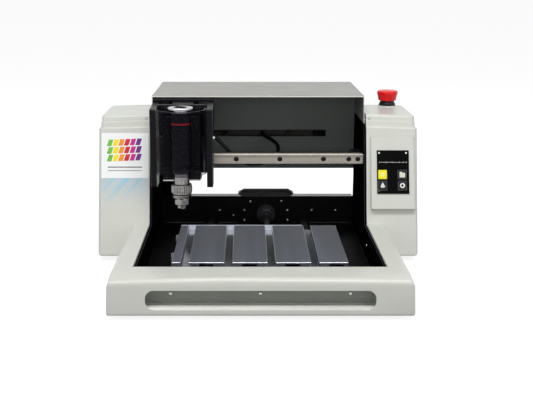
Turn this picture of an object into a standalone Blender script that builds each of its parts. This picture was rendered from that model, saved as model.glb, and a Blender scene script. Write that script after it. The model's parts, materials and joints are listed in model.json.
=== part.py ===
"""Bench-top engraving machine: a T-slot table slides along Y under a gantry, whose carriage
slides along X and carries a spindle that slides along Z. Metres, +Z up, +Y to the back.
The origin is on the bench, under the middle of the machine."""

import math

import bmesh
import bpy
from mathutils import Matrix, Vector

# Overall size and the clearances that every piece shares
WIDTH = 0.644
DEPTH = 0.667
HEIGHT = 0.322
GAP = 0.0003
RUNNING = 0.0004
OVERRUN = 0.002
SHEET = 0.0015
WALL = 0.003
EDGE = 0.0006
MERGE = 0.00001
FRONT = -DEPTH / 2
BACK = DEPTH / 2

# A millimetre up, across and to the back of the machine as photographed, which is 322 mm tall, 644 mm
# wide and 667 mm deep. Heights above the table, places across and everything behind the gantry are
# told in these, so that they follow when the machine is made taller, wider or deeper.
UP = HEIGHT / 322
OVER = WIDTH / 644
ALONG = DEPTH / 667

# Leaning front of the towers and the side frames
LEAN_SHARE = 0.2975
TOWER_BOTTOM = 0.0106
TOWER_FRONT = -0.0135

# Chassis
INSIDE = 428.4 * OVER
FRAME_THICK = 0.004
FRAME_BEHIND_TOWER = 0.004
FRAME_TOP = 267.7 * UP
FRAME_BACK = 330 * ALONG
FRAME_TRAY_TOP = 0.071
FRAME_CORNER = 0.006
FRAME_THROAT_BACK = 221.5 * ALONG
CORNER_FLANGE = 36 * OVER
CORNER_FLANGE_RISE = 0.006
BASE_BOTTOM = 0.012
BASE_THICK = 0.006
BASE_BACK = 318 * ALONG
FLANGE_THICK = 0.003
FOOT_RADIUS = 0.0125
FOOT_TAPER = 0.0015
FOOT_X = 185 * OVER
FOOT_FRONT_Y = -0.225
FOOT_BACK_Y = 280 * ALONG

# Front tray cover
TRAY_BOTTOM = 0.006
TRAY_TOP = 0.0746
TRAY_HALF_TOP = 255 * OVER
TRAY_DRAFT = 0.003
TRAY_OPENING_FRONT = -0.2695
TRAY_CORNER = 0.020
TRAY_RIM = 0.010
TRAY_CROWN = 0.005
TRAY_FOOT_ROUND = 0.008
TRAY_SPLIT_SHARES = (-0.75, -0.5, -0.25, 0, 0.25, 0.5, 0.75)
RECESS_HALF = 192 * OVER
RECESS_TOP = 0.053
RECESS_SILL = 0.033
RECESS_LIP = 0.020
RECESS_DEEP = 0.024
RECESS_MID = 0.010
RECESS_SLOPE = 0.004
RECESS_END = 0.0155

# Tower covers
TOWER_HALF = WIDTH / 2
TOWER_BACK = 226 * ALONG
TOWER_STEPS = (262.5 * UP, 274.5 * UP, 286.2 * UP)
TOWER_SETBACKS = (0.0, 0.0035, 0.0045)
TOWER_CROWN = 0.003
TOWER_CORNER = 0.009
TOWER_STEP_ROUND = 0.0022
TOWER_TOP_ROUND = 0.0040
TOWER_FOOT_ROUND = 0.006

# Hood, back panel and rear cover
HOOD_HALF = INSIDE / 2 + 0.0013
HOOD_FRONT = 0.084
HOOD_SKIRT_FRONT = 0.066
HOOD_HEM = 0.003
PANEL_FRONT = 226 * ALONG
PANEL_BOTTOM = 142.4 * UP
SLOT_BOTTOM = 214.7 * UP
SLOT_TOP = 228 * UP
SLOT_HALF = 150.6 * OVER
COVER_BACK = 329.5 * ALONG
VENT_COUNT = 12
VENT_PITCH = 0.0085
VENT_WIDE = 0.0035
VENT_TALL = 0.042
VENT_X = -75 * OVER
VENT_Z = 240 * UP

# Rear wall of the work bay and the cover over the Y motor
BAY_BACK = 222 * ALONG
BAY_TOP = 0.079
BAY_LEDGE = 0.024
BAY_SHEET = 0.002
MOTOR_COVER_BACK = 300 * ALONG
MOTOR_COVER_TOP = 0.0905
MOTOR_COVER_FALL = 0.0205
MOTOR_COVER_HALF = 0.063
MOTOR_COVER_TOP_HALF = 0.0505

# Gantry
RAIL_FACE = 0.056
X_RAIL_WIDE = 0.020
X_RAIL_TALL = 0.0175
X_RAIL_Z = 196.7 * UP
X_RAIL_HALF = INSIDE / 2 - GAP
BEAM_HALF = INSIDE / 2 - 0.0222
RAIL_GROOVE_SHARE = 0.09
RAIL_EDGE_SHARE = 0.04
RAIL_STEP_SHARES = (
    (0, 0), (0.28, 0), (0.40, RAIL_GROOVE_SHARE), (0.66, RAIL_GROOVE_SHARE), (0.80, 0), (0.96, 0), (1, RAIL_EDGE_SHARE)
)
BOLT_PITCH = 88.7 * OVER
BOLT_END = 0.0074
BOLT_RADIUS = 0.0052
BOLT_DEEP = 0.0085
BEAM_THICK = 0.012
BEAM_BOTTOM = 186.6 * UP
END_BACK = 0.116
END_BOTTOM = 181 * UP
X_SCREW_Y = 0.104
X_SCREW_Z = 193 * UP
X_SCREW_RADIUS = 0.008
JOURNAL_RADIUS = 0.005
X_MOTOR_SIZE = 0.056
X_MOTOR_LONG = 0.054

# Carriage on the gantry
CARRIAGE_X = -(INSIDE / 2 - 0.0632)
CHEEK_THICK = 0.012
CHEEK_INNER_HALF = 0.0495
CHEEK_BOTTOM = 151 * UP
BACK_PLATE_BOTTOM = 174 * UP
CHEEK_FRONT = -0.003
CHEEK_FRONT_TOP = 306 * UP
CHEEK_EAR_BOTTOM = 262 * UP
CHEEK_EAR_BACK = 0.112
CHEEK_TOP = 310.7 * UP
CHEEK_CORNER = 0.004
CARRIAGE_BACK = 0.0435
CARRIAGE_PLATE = 0.012
CARRIAGE_WINDOW_HALF = 0.012
CARRIAGE_WINDOW_BOTTOM = 222 * UP
CARRIAGE_WINDOW_TALL = 51 * UP
TOP_PLATE_THICK = 0.006
TOP_PLATE_FRONT = 0.078
SHELF_THICK = 0.0032
SHELF_HALF = 0.024
X_BLOCK_LONG = 0.044
X_BLOCK_SPREAD = 0.025
X_BLOCK_HALF = 0.022
X_BLOCK_DEEP = 0.0252
X_NUT_FRONT = 0.0885
X_NUT_SHEET = 0.006
X_NUT_HALF = 0.020
X_HANGER_HALF = 0.030
X_NUT_RISE = 0.012
SHIELD_RADIUS = 0.0492
SHIELD_SHEET = 0.0025
SHIELD_BOTTOM = 183 * UP
SHIELD_TOP = 309 * UP
SHIELD_LEG = 0.016

# Z axis
Z_RAIL_X = 0.032
Z_RAIL_WIDE = 0.012
Z_RAIL_TALL = 0.008
Z_RAIL_BOTTOM = 180 * UP
Z_BLOCK_WIDE = 0.027
Z_BLOCK_TALL = 0.0102
Z_BLOCK_LONG = 0.035
Z_BLOCK_BOTTOMS = (214 * UP, 262 * UP)
Z_PLATE_HALF = 0.0385
Z_PLATE_FRONT = 0.0106
Z_PLATE_THICK = 0.0075
Z_PLATE_BOTTOM = 166 * UP
Z_PLATE_TOP = 298 * UP
Z_SCREW_Y = 0.066
Z_SCREW_RADIUS = 0.004
Z_SCREW_BOTTOM = 224 * UP
Z_NUT_HALF = 0.010
Z_NUT_BOTTOM = 257.5 * UP
Z_NUT_TALL = 13.5 * UP
Z_MOTOR_SIZE = 0.042
Z_MOTOR_BOTTOM = 277 * UP
CLAMP_FRONT = -0.008
CLAMP_HALF = 0.037
CLAMP_TALL = 24 * UP
UPPER_CLAMP_HALF = 0.030
UPPER_CLAMP_BOTTOM = 268 * UP

# Spindle
SPINDLE_Y = -0.010
BODY_RADIUS = 0.01945
BODY_BOTTOM = 183 * UP
BODY_TOP = 302 * UP
BODY_GROOVE_Z = 281 * UP
BODY_GROOVE_DEEP = 0.0008
BODY_GROOVE_HALF = 0.0015
NECK_RADIUS = 0.0125
NECK_TOP = 307.4 * UP
SHANK_RADIUS = 0.006
BARREL_RADIUS = 0.01585
BARREL_BOTTOM = 161 * UP
BARREL_ROOF = 0.0045
RING_RADIUS = 0.0206
RING_FLUTE_DEEP = 0.0009
RING_FLUTES = 30
RING_BOTTOM = 142 * UP
NOSE_TUBE_RADIUS = 0.0120
NOSE_TUBE_TOP = 176.5 * UP
NOSE_FLANGE_RADIUS = 0.019
NOSE_FLANGE_TOP = 140.2 * UP
NOSE_FLANGE_BOTTOM = 134 * UP
NUT_RADIUS = 0.0152
NUT_TOP = 131.8 * UP
NUT_BOTTOM = 119 * UP
TIP_RADIUS = 0.0097
TIP_BOTTOM = 110 * UP
TIP_CHAMFER = 0.0025
CUTTER_RADIUS = 0.003
CUTTER_STEP = 124 * UP
CUTTER_CONE = 112.5 * UP
CUTTER_POINT = 109.2 * UP
CUTTER_FLAT = 0.0003
KNOB_RADIUS = 0.0248
KNOB_THICK = 0.0043
KNOB_ROUND = 0.0012

# Table and Y axis
TABLE_HALF = 153.7 * OVER
TABLE_FRONT = -0.250
TABLE_BACK = -0.009
TABLE_TOP = 0.0756
TABLE_THICK = 0.0133
SLOT_PITCH = 75.75 * OVER
FIRST_SLOT_X = -131 * OVER
SLOT_COUNT = 4
SLOT_MOUTH = 0.014
SLOT_UNDERCUT = 0.021
SLOT_NECK = 0.0046
SLOT_DEEP = 0.0092
CHAMBER_WIDE = 0.026
CHAMBER_TALL = 0.0066
CHAMBER_OFFSET = 37 * OVER
Y_RAIL_X = 100 * OVER
Y_RAIL_WIDE = 0.015
Y_RAIL_TALL = 0.015
Y_RAIL_FRONT = -0.254
Y_RAIL_BACK = 206 * ALONG
RISER_TALL = 0.0077
RISER_WIDE = 0.030
Y_BLOCK_WIDE = 0.034
Y_BLOCK_LONG = 0.056
Y_BLOCK_BOTTOM = 0.030
Y_BLOCK_FRONTS = (-0.205, -0.111)
SADDLE_HALF = 130 * OVER
SADDLE_FRONT = -0.215
SADDLE_BACK = -0.045
SADDLE_THICK = 0.0077
Y_SCREW_X = 20.4 * OVER
Y_SCREW_Z = 0.0393
Y_SCREW_RADIUS = 0.006
Y_JOURNAL_RADIUS = 0.004
Y_NUT_HALF = 0.016
Y_NUT_FRONT = -0.145
Y_NUT_LONG = 0.030
Y_NUT_BOTTOM = 0.026
PILLOW_FRONT = -0.262
PILLOW_LONG = 0.012
PILLOW_HALF = 0.018
PILLOW_TOP = 0.056
HUB_RADIUS = 0.021
HUB_THICK = 0.0115
HUB_BOSS_RADIUS = 0.012
HUB_BOSS = 0.006
MOTOR_SIZE = 0.042
MOTOR_LONG = 0.040
MOTOR_EDGE = 0.004
MOTOR_CAP = 0.008
MOTOR_WAIST = 0.0008

# Control pod on the right tower
POD_LEFT = 227 * OVER
POD_RIGHT = 314.5 * OVER
POD_TOP = 242.4 * UP
POD_BOTTOM = 104.4 * UP
POD_PROUD_TOP = 0.0015
POD_PROUD_BOTTOM = 0.009
POD_EDGE = 0.002
MEMBRANE_LEFT = 238.7 * OVER
MEMBRANE_RIGHT = 303 * OVER
MEMBRANE_BOTTOM = 134 * UP
MEMBRANE_TOP = 217 * UP
MEMBRANE_THICK = 0.0015
KEY_SIZE = 0.0173
KEY_THICK = 0.0010
KEY_TRAVEL = 0.0005
KEY_COLUMNS = (249.8 * OVER, 289.3 * OVER)
KEY_ROWS = (149.7 * UP, 149.7 * UP + 0.021)

# Emergency stop
STOP_X = 281 * OVER
STOP_Y = TOWER_BACK - 0.021
STOP_COLLAR_RADIUS = 0.0177
STOP_COLLAR_TALL = 0.0060
STOP_PAD_MARGIN = 0.0018
STOP_STEM_RADIUS = 0.015
STOP_STEM_LIFT = 0.0048
STOP_HEAD_RADIUS = 0.022
STOP_HEAD_FOOT_RADIUS = 0.0185
STOP_HEAD_BOTTOM = TOWER_STEPS[-1] + 0.0108
STOP_HEAD_TOP = STOP_HEAD_BOTTOM + 0.0212
STOP_HEAD_ROUND = 0.003

# Mains inlet with its rocker switch, and the electrics behind the back panel
INLET_X = 145 * OVER
INLET_BOTTOM = 165 * UP
INLET_TALL = 0.060
INLET_HALF = 0.015
INLET_BODY_HALF = 0.0136
INLET_BODY_INSET = 0.002
INLET_FRONT = 308 * ALONG
INLET_FACE = 0.0022
SOCKET_HALF = 0.012
SOCKET_BOTTOM = INLET_BOTTOM + 0.006
SOCKET_TALL = 0.017
SOCKET_DEEP = 0.016
ROCKER_Z = INLET_BOTTOM + 0.0425
ROCKER_Y = 326.5 * ALONG
ROCKER_HALF = 0.006
ROCKER_REACH = 0.0050
ROCKER_TALL_HALF = 0.0075
ROCKER_TILT_DEG = 9
ROCKER_WINDOW_HALF = 0.0095
ROCKER_WINDOW_DEEP = 0.014
SUPPLY_LEFT = -60 * OVER
SUPPLY_RIGHT = 60 * OVER
SUPPLY_FRONT = 240.3 * ALONG
SUPPLY_LONG = 60 * ALONG
SUPPLY_TALL = 0.100
BOARD_LEFT = -200 * OVER
BOARD_RIGHT = -76 * OVER
BOARD_FRONT = 240 * ALONG
BOARD_BACK = 316 * ALONG
BOARD_THICK = 0.0016
BOARD_POST = 0.006
BOARD_POST_RADIUS = 0.003
BOARD_POST_INSET = 0.006
BOARD_CHIP_TALL = 0.012
BOARD_CHIP_SHARES = ((0.15, 0.20, 0.40, 0.55), (0.55, 0.15, 0.85, 0.40), (0.50, 0.60, 0.90, 0.85))

# Spindle cable: from the power supply through the slot, behind the beam and onto the X hanger
CABLE_RADIUS = 0.004
CABLE_SIDE_STEPS = 3
MILLIMETRE = 0.001
CABLE_HOOK = 0.0175
CABLE_ROUTE_STEPS = (
    (11, 240, 221.5), (11, 232, 221.2), (12.5, 222, 219.6), (19, 213, 216.2),
    (30, 203, 211.5), (40, 192, 205.5), (45, 180, 198.5), (43, 169, 189.5),
    (33, 159, 179.5), (16, 150, 171.5), (-6, 142, 169), (-28, 136, 173.5),
    (-48, 131, 186), (-64, 127, 203), (-78, 122, 219.5), (-92, 117, 233.5),
    (-109, 112, 242.5), (-124, 106.5, 246), (-132.5, 101, 246.5), (-133.5, 94.8, 246.5),
)
CABLE_POINTS_PER_SPAN = 3

PARTS = bpy.data.collections.new("engraving_machine")
CUTTERS = bpy.data.collections.new("engraving_machine_cutters")

FINISHES = {
    "light_grey_paint": ((0.60, 0.61, 0.57), 0.45, 0.0),
    "black_paint": ((0.012, 0.012, 0.014), 0.45, 0.0),
    "dark_grey_paint": ((0.045, 0.048, 0.048), 0.55, 0.0),
    "ground_steel": ((0.56, 0.54, 0.50), 0.30, 1.0),
    "bright_steel": ((0.72, 0.72, 0.74), 0.18, 1.0),
    "table_aluminium": ((0.42, 0.43, 0.45), 0.35, 1.0),
    "plain_aluminium": ((0.70, 0.71, 0.72), 0.30, 1.0),
    "black_anodised": ((0.015, 0.015, 0.020), 0.22, 0.3),
    "smoked_acrylic": ((0.02, 0.02, 0.03), 0.05, 0.0),
    "black_plastic": ((0.015, 0.015, 0.016), 0.40, 0.0),
    "red_plastic": ((0.70, 0.02, 0.02), 0.30, 0.0),
    "yellow_plastic": ((0.85, 0.72, 0.05), 0.40, 0.0),
    "white_plastic": ((0.75, 0.75, 0.72), 0.40, 0.0),
    "black_rubber": ((0.02, 0.02, 0.02), 0.80, 0.0),
    "green_board": ((0.02, 0.14, 0.06), 0.45, 0.0),
}


def material(finish):
    """The Principled material of a finish, made the first time that it is asked for."""
    found = bpy.data.materials.get(finish)
    if found:
        return found
    colour, roughness, metallic = FINISHES[finish]
    made = bpy.data.materials.new(finish)
    made.use_nodes = True
    shader = made.node_tree.nodes["Principled BSDF"]
    shader.inputs["Base Color"].default_value = (*colour, 1)
    shader.inputs["Roughness"].default_value = roughness
    shader.inputs["Metallic"].default_value = metallic
    return made


def add(name, mesh, finish, place=(0, 0, 0)):
    """An object of the machine that holds this mesh."""
    obj = bpy.data.objects.new(name, mesh)
    obj.location = place
    PARTS.objects.link(obj)
    mesh.materials.append(material(finish))
    return obj


def as_cutter(obj):
    """Puts a shape with the cutters, which no render shows."""
    PARTS.objects.unlink(obj)
    CUTTERS.objects.link(obj)
    obj.hide_render = True
    obj.display_type = "WIRE"
    return obj


def combine(obj, operation, others):
    for other in others:
        boolean = obj.modifiers.new(operation.title(), "BOOLEAN")
        boolean.operation = operation
        boolean.object = as_cutter(other)
    return obj


def cut(obj, *others):
    return combine(obj, "DIFFERENCE", others)


def join(obj, *others):
    return combine(obj, "UNION", others)


def overlap(obj, other):
    return combine(obj, "INTERSECT", [other])


def shade_round(mesh, angle=math.radians(35)):
    mesh.shade_smooth()
    mesh.set_sharp_from_angle(angle=angle)


def block(name, finish, low, high, edge=0.0):
    """A box between two corners, its edges rounded when edge is given."""
    low, high = Vector(low), Vector(high)
    bm = bmesh.new()
    bmesh.ops.create_cube(bm, size=1)
    bmesh.ops.scale(bm, vec=high - low, verts=bm.verts)
    if edge:
        bmesh.ops.bevel(
            bm, geom=bm.edges[:], offset=edge, segments=1, profile=0.5, affect="EDGES", material=-1
        )
    mesh = bpy.data.meshes.new(name)
    bm.to_mesh(mesh)
    bm.free()
    return add(name, mesh, finish, (low + high) / 2)


TURN_TO = {"X": Matrix.Rotation(math.pi / 2, 4, "Y"), "Y": Matrix.Rotation(-math.pi / 2, 4, "X"), "Z": Matrix()}


def rod(name, finish, start, end, radius, sides=32):
    """A cylinder between two points."""
    start, end = Vector(start), Vector(end)
    bm = bmesh.new()
    bmesh.ops.create_cone(
        bm, cap_ends=True, segments=sides, radius1=radius, radius2=radius, depth=(end - start).length
    )
    mesh = bpy.data.meshes.new(name)
    bm.to_mesh(mesh)
    bm.free()
    shade_round(mesh)
    obj = add(name, mesh, finish, (start + end) / 2)
    obj.rotation_euler = (end - start).to_track_quat("Z", "Y").to_euler()
    return obj


def turned(name, finish, profile, axis="Z", place=(0, 0, 0), sides=32):
    """A turned piece: (radius, place along the axis) down its outer side, and up its bore if it has one."""
    mesh = bpy.data.meshes.new(name)
    closed = profile[0][0] > 0
    count = len(profile)
    edges = [(i, (i + 1) % count) for i in range(count if closed else count - 1)]
    mesh.from_pydata([(radius, 0, along) for radius, along in profile], edges, [])
    obj = add(name, mesh, finish, place)
    obj.rotation_euler = TURN_TO[axis].to_euler()
    screw = obj.modifiers.new("Turn", "SCREW")
    screw.steps = screw.render_steps = sides
    screw.use_merge_vertices = True
    screw.merge_threshold = MERGE
    return obj


def arc(centre, radius, start_deg, end_deg, steps=6):
    """Points on an arc, both ends counted."""
    turns = [math.radians(start_deg + (end_deg - start_deg) * i / steps) for i in range(steps + 1)]
    return [(centre[0] + radius * math.cos(t), centre[1] + radius * math.sin(t)) for t in turns]


def rounded(corners, steps=4):
    """The outline through (x, y, radius) corners, each one an arc of that radius, or sharp at 0."""
    points = []
    for i, (x, y, radius) in enumerate(corners):
        corner = Vector((x, y))
        if not radius:
            points.append(corner)
            continue
        before = Vector(corners[i - 1][:2]) - corner
        after = Vector(corners[(i + 1) % len(corners)][:2]) - corner
        half = before.angle(after) / 2
        reach = radius / math.tan(half)
        centre = corner + (before.normalized() + after.normalized()).normalized() * radius / math.sin(half)
        start = corner + before.normalized() * reach - centre
        turn = (corner + after.normalized() * reach - centre).angle_signed(start)
        for k in range(steps + 1):
            points.append(centre + Matrix.Rotation(turn * k / steps, 2) @ start)
    return [tuple(point) for point in points]


OUTLINE_AXES = {
    "X": Matrix(((0, 0, 1, 0), (1, 0, 0, 0), (0, 1, 0, 0), (0, 0, 0, 1))),
    "Y": Matrix(((1, 0, 0, 0), (0, 0, -1, 0), (0, 1, 0, 0), (0, 0, 0, 1))),
    "Z": Matrix(),
}


def prism(name, finish, outline, axis, low, high, holes=()):
    """A flat outline, with its holes, drawn across an axis and made thick from low to high along it.
    Across X it is (y, z), across Y (x, z) and across Z (x, y)."""
    curve = bpy.data.curves.new(name, "CURVE")
    curve.dimensions = "2D"
    curve.fill_mode = "BOTH"
    curve.extrude = (high - low) / 2
    for points in (outline, *holes):
        spline = curve.splines.new("POLY")
        spline.points.add(len(points) - 1)
        spline.use_cyclic_u = True
        for point, (across, up) in zip(spline.points, points):
            point.co = (across, up, 0, 1)
    drawn = bpy.data.objects.new(name + "_outline", curve)
    PARTS.objects.link(drawn)
    middle = (low + high) / 2
    shift = {"X": (middle, 0, 0), "Y": (0, middle, 0), "Z": (0, 0, middle)}[axis]
    graph = bpy.context.evaluated_depsgraph_get()
    mesh = bpy.data.meshes.new_from_object(drawn.evaluated_get(graph))
    mesh.name = name
    bpy.data.objects.remove(drawn)
    bm = bmesh.new()
    bm.from_mesh(mesh)
    bmesh.ops.remove_doubles(bm, verts=bm.verts, dist=MERGE)
    bmesh.ops.recalc_face_normals(bm, faces=bm.faces)
    bmesh.ops.transform(bm, matrix=OUTLINE_AXES[axis], verts=bm.verts)
    bm.to_mesh(mesh)
    bm.free()
    mesh.materials.clear()
    shade_round(mesh)
    return add(name, mesh, finish, shift)


def lean_y(z):
    """Where the leaning front plane of the towers is at height z."""
    return TOWER_FRONT + (z - TOWER_BOTTOM) * LEAN_SHARE


def ordered(a, b):
    return (min(a, b), max(a, b))


def leaning_block(name, finish, inner, outer, bottom, top, setback, back, corner, crown=0.0):
    """A block whose front leans with the towers, its two outer upright edges rounded and its top
    falling by crown to its outer side."""
    bm = bmesh.new()
    bmesh.ops.create_cube(bm, size=1)
    side = math.copysign(1, outer - inner)
    uprights = [e for e in bm.edges if e.verts[0].co.z != e.verts[1].co.z and e.verts[0].co.x * side > 0]
    for v in bm.verts:
        x = outer if v.co.x * side > 0 else inner
        z = top - (crown if x == outer else 0) if v.co.z > 0 else bottom
        y = back if v.co.y > 0 else lean_y(z) + setback
        v.co = (x, y, z)
    bmesh.ops.bevel(
        bm, geom=uprights, offset=corner, segments=4, profile=0.5, affect="EDGES", material=-1
    )
    bmesh.ops.recalc_face_normals(bm, faces=bm.faces)
    mesh = bpy.data.meshes.new(name)
    bm.to_mesh(mesh)
    bm.free()
    shade_round(mesh)
    return add(name, mesh, finish)


def round_rim(obj, width, upper=True, steps=2):
    """Rounds the top or the bottom edges of a leaning block, other than the one on its inner side."""
    bm = bmesh.new()
    bm.from_mesh(obj.data)
    middle = sum(v.co.z for v in bm.verts) / len(bm.verts)
    inner = min(abs(v.co.x) for v in bm.verts)
    rim = [
        e for e in bm.edges
        if all((v.co.z > middle) == upper for v in e.verts) and e.calc_face_angle() > math.radians(50)
        and not all(abs(abs(v.co.x) - inner) < width / 10 for v in e.verts)
    ]
    bmesh.ops.bevel(bm, geom=rim, offset=width, segments=steps, profile=0.5, affect="EDGES", material=-1)
    bm.to_mesh(obj.data)
    bm.free()
    shade_round(obj.data)
    return obj


def rail_outline(wide, tall, middle, foot):
    """A guide rail's section, its foot at the first coordinate and its width about the second."""
    half = wide / 2
    steps = [(foot + rise * tall, inset * wide) for rise, inset in RAIL_STEP_SHARES]
    up = [(level, middle - half + inset) for level, inset in steps]
    down = [(level, middle + half - inset) for level, inset in reversed(steps)]
    return up + down


def flipped(outline):
    return [(b, a) for a, b in outline]


def u_outline(half, deep_start, deep_end, notch_half, notch_start, corner):
    """A block's section with a channel in one face: across about 0, and deep from start to end."""
    toward = 1 if deep_end > deep_start else -1
    return [
        (-half + corner, deep_start), (half - corner, deep_start), (half, deep_start + toward * corner),
        (half, deep_end), (notch_half, deep_end), (notch_half, notch_start),
        (-notch_half, notch_start), (-notch_half, deep_end), (-half, deep_end),
        (-half, deep_start + toward * corner),
    ]


def axis_empty(name, place):
    """The empty that stands on a joint's axis, for the pieces that move on it."""
    empty = bpy.data.objects.new(name, None)
    empty.location = place
    PARTS.objects.link(empty)
    return empty


def carry(empty, pieces):
    """Parents pieces to a joint's empty and leaves them where they are."""
    bpy.context.view_layer.update()
    for piece in pieces:
        piece.parent = empty
        piece.matrix_parent_inverse = empty.matrix_world.inverted()


def make_base_plate():
    front = TRAY_OPENING_FRONT + GAP
    top = BASE_BOTTOM + BASE_THICK
    outline = [
        (front, BASE_BOTTOM), (BASE_BACK, BASE_BOTTOM), (BASE_BACK, top), (front + FLANGE_THICK, top),
        (front + FLANGE_THICK, FRAME_TRAY_TOP), (front, FRAME_TRAY_TOP),
    ]
    half = INSIDE / 2 - GAP
    plate = prism("base_plate", "black_paint", outline, "X", -half, half)
    pillow = block(
        "front_screw_bearing", "black_paint",
        (Y_SCREW_X - PILLOW_HALF, PILLOW_FRONT, top - GAP),
        (Y_SCREW_X + PILLOW_HALF, PILLOW_FRONT + PILLOW_LONG, PILLOW_TOP), EDGE,
    )
    bore = rod(
        "front_bearing_bore", "black_paint",
        (Y_SCREW_X, PILLOW_FRONT - OVERRUN, Y_SCREW_Z),
        (Y_SCREW_X, PILLOW_FRONT + PILLOW_LONG + OVERRUN, Y_SCREW_Z), Y_JOURNAL_RADIUS + RUNNING, 16,
    )
    return cut(join(plate, pillow), bore)


def make_side_frame(name, side, hole):
    front = TRAY_OPENING_FRONT + GAP
    behind = FRAME_BEHIND_TOWER
    throat = FRAME_THROAT_BACK
    outline = rounded([
        (front, BASE_BOTTOM, 0), (FRAME_BACK, BASE_BOTTOM, 0), (FRAME_BACK, BAY_TOP, FRAME_CORNER),
        (throat, BAY_TOP, FRAME_CORNER), (throat, PANEL_BOTTOM, FRAME_CORNER),
        (FRAME_BACK, PANEL_BOTTOM, FRAME_CORNER), (FRAME_BACK, FRAME_TOP, FRAME_CORNER),
        (lean_y(FRAME_TOP) + behind, FRAME_TOP, FRAME_CORNER),
        (lean_y(FRAME_TRAY_TOP) + behind, FRAME_TRAY_TOP, FRAME_CORNER), (front, FRAME_TRAY_TOP, 0),
    ])
    holes = [arc((X_SCREW_Y, X_SCREW_Z), JOURNAL_RADIUS + RUNNING, 0, 345, 23)] if hole else []
    low, high = ordered(side * INSIDE / 2, side * (INSIDE / 2 + FRAME_THICK))
    frame = prism(name, "black_paint", outline, "X", low, high, holes)
    if side > 0:
        return frame
    flange = block(
        name + "_flange", "black_paint", (low + EDGE, throat - FRAME_THICK, BAY_TOP + GAP),
        (high + CORNER_FLANGE, throat, PANEL_BOTTOM + CORNER_FLANGE_RISE), EDGE,
    )
    return join(frame, flange)


def make_foot(name, x, y):
    top = BASE_BOTTOM - GAP
    profile = [(0, top), (FOOT_RADIUS, top), (FOOT_RADIUS - FOOT_TAPER, 0), (0, 0)]
    return turned(name, "black_rubber", profile, place=(x, y, 0), sides=24)


def tray_form(name, inset):
    """The outside of the tray cover, or the same form smaller by inset: a drafted block with round
    front corners, whose front top edge is crowned."""
    front = FRONT + inset
    top = TRAY_TOP - inset
    bottom = TRAY_BOTTOM - (OVERRUN if inset else 0)
    back = lean_y(TRAY_TOP) + OVERRUN
    half = TRAY_HALF_TOP - inset
    corner = TRAY_CORNER - inset
    rim = TRAY_RIM - inset / 2
    bm = bmesh.new()
    bmesh.ops.create_cube(bm, size=1)
    for v in bm.verts:
        wide = half if v.co.z > 0 else half + TRAY_DRAFT
        v.co = (
            math.copysign(wide, v.co.x), front if v.co.y < 0 else back, top if v.co.z > 0 else bottom
        )
    uprights = [
        e for e in bm.edges
        if all(v.co.y == front for v in e.verts) and e.verts[0].co.z != e.verts[1].co.z
    ]
    bmesh.ops.bevel(
        bm, geom=uprights, offset=corner, segments=6, profile=0.5, affect="EDGES", material=-1
    )
    for share in TRAY_SPLIT_SHARES:
        bmesh.ops.bisect_plane(
            bm, geom=bm.verts[:] + bm.edges[:] + bm.faces[:], plane_co=(share * half, 0, 0), plane_no=(1, 0, 0)
        )
    bmesh.ops.bisect_plane(
        bm, geom=bm.verts[:] + bm.edges[:] + bm.faces[:],
        plane_co=(0, TRAY_OPENING_FRONT - corner, 0), plane_no=(0, 1, 0),
    )
    reach = TRAY_OPENING_FRONT - corner - front
    for v in bm.verts:
        if abs(v.co.z - top) < TRAY_CROWN / 10:
            along = min(1, max(0, (TRAY_OPENING_FRONT - corner - v.co.y) / reach))
            v.co.z -= TRAY_CROWN * along * (v.co.x / half) ** 2
    upper = [
        e for e in bm.edges
        if len(e.link_faces) == 2 and e.calc_face_angle() > math.radians(50)
        and min(v.co.z for v in e.verts) > (top + bottom) / 2
        and min(v.co.y for v in e.verts) < back - corner
    ]
    bmesh.ops.bevel(bm, geom=upper, offset=rim, segments=4, profile=0.5, affect="EDGES", material=-1)
    if not inset:
        lower = [
            e for e in bm.edges
            if all(v.co.z < bottom + EDGE for v in e.verts) and len(e.link_faces) == 2
            and e.calc_face_angle() > math.radians(50) and min(v.co.y for v in e.verts) < back - corner
        ]
        bmesh.ops.bevel(
            bm, geom=lower, offset=TRAY_FOOT_ROUND, segments=3, profile=0.5, affect="EDGES", material=-1
        )
    bmesh.ops.recalc_face_normals(bm, faces=bm.faces)
    mesh = bpy.data.meshes.new(name)
    bm.to_mesh(mesh)
    bm.free()
    shade_round(mesh)
    return add(name, mesh, "light_grey_paint")


def recess_form(name, outset):
    """The hand recess in the tray's front: deep under its sharp upper edge, sloping out to a soft lip."""
    mouth = FRONT - OVERRUN
    deep = FRONT + RECESS_DEEP + outset
    section = [
        (mouth, RECESS_TOP + outset), (deep, RECESS_TOP + outset), (deep, RECESS_SILL + RECESS_SLOPE - outset),
        (FRONT + RECESS_MID, RECESS_SILL - outset), (FRONT + outset, RECESS_LIP - outset),
        (mouth, RECESS_LIP - outset),
    ]
    low = RECESS_LIP - outset - EDGE
    high = RECESS_TOP + outset + EDGE
    half = RECESS_HALF + outset
    face = rounded([
        (-half, low, RECESS_END), (half, low, RECESS_END), (half, high, RECESS_END), (-half, high, RECESS_END),
    ])
    scoop = prism(name, "light_grey_paint", section, "X", -half - OVERRUN, half + OVERRUN)
    window = prism(name + "_window", "light_grey_paint", face, "Y", mouth - OVERRUN, deep + OVERRUN)
    return overlap(scoop, window)


def behind_lean(name, setback, half, bottom, top):
    """Everything behind the leaning plane, as a cutter."""
    back = TOWER_BACK
    section = [
        (lean_y(bottom) - setback, bottom), (back, bottom), (back, top), (lean_y(top) - setback, top),
    ]
    return prism(name, "light_grey_paint", section, "X", -half, half)


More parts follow.
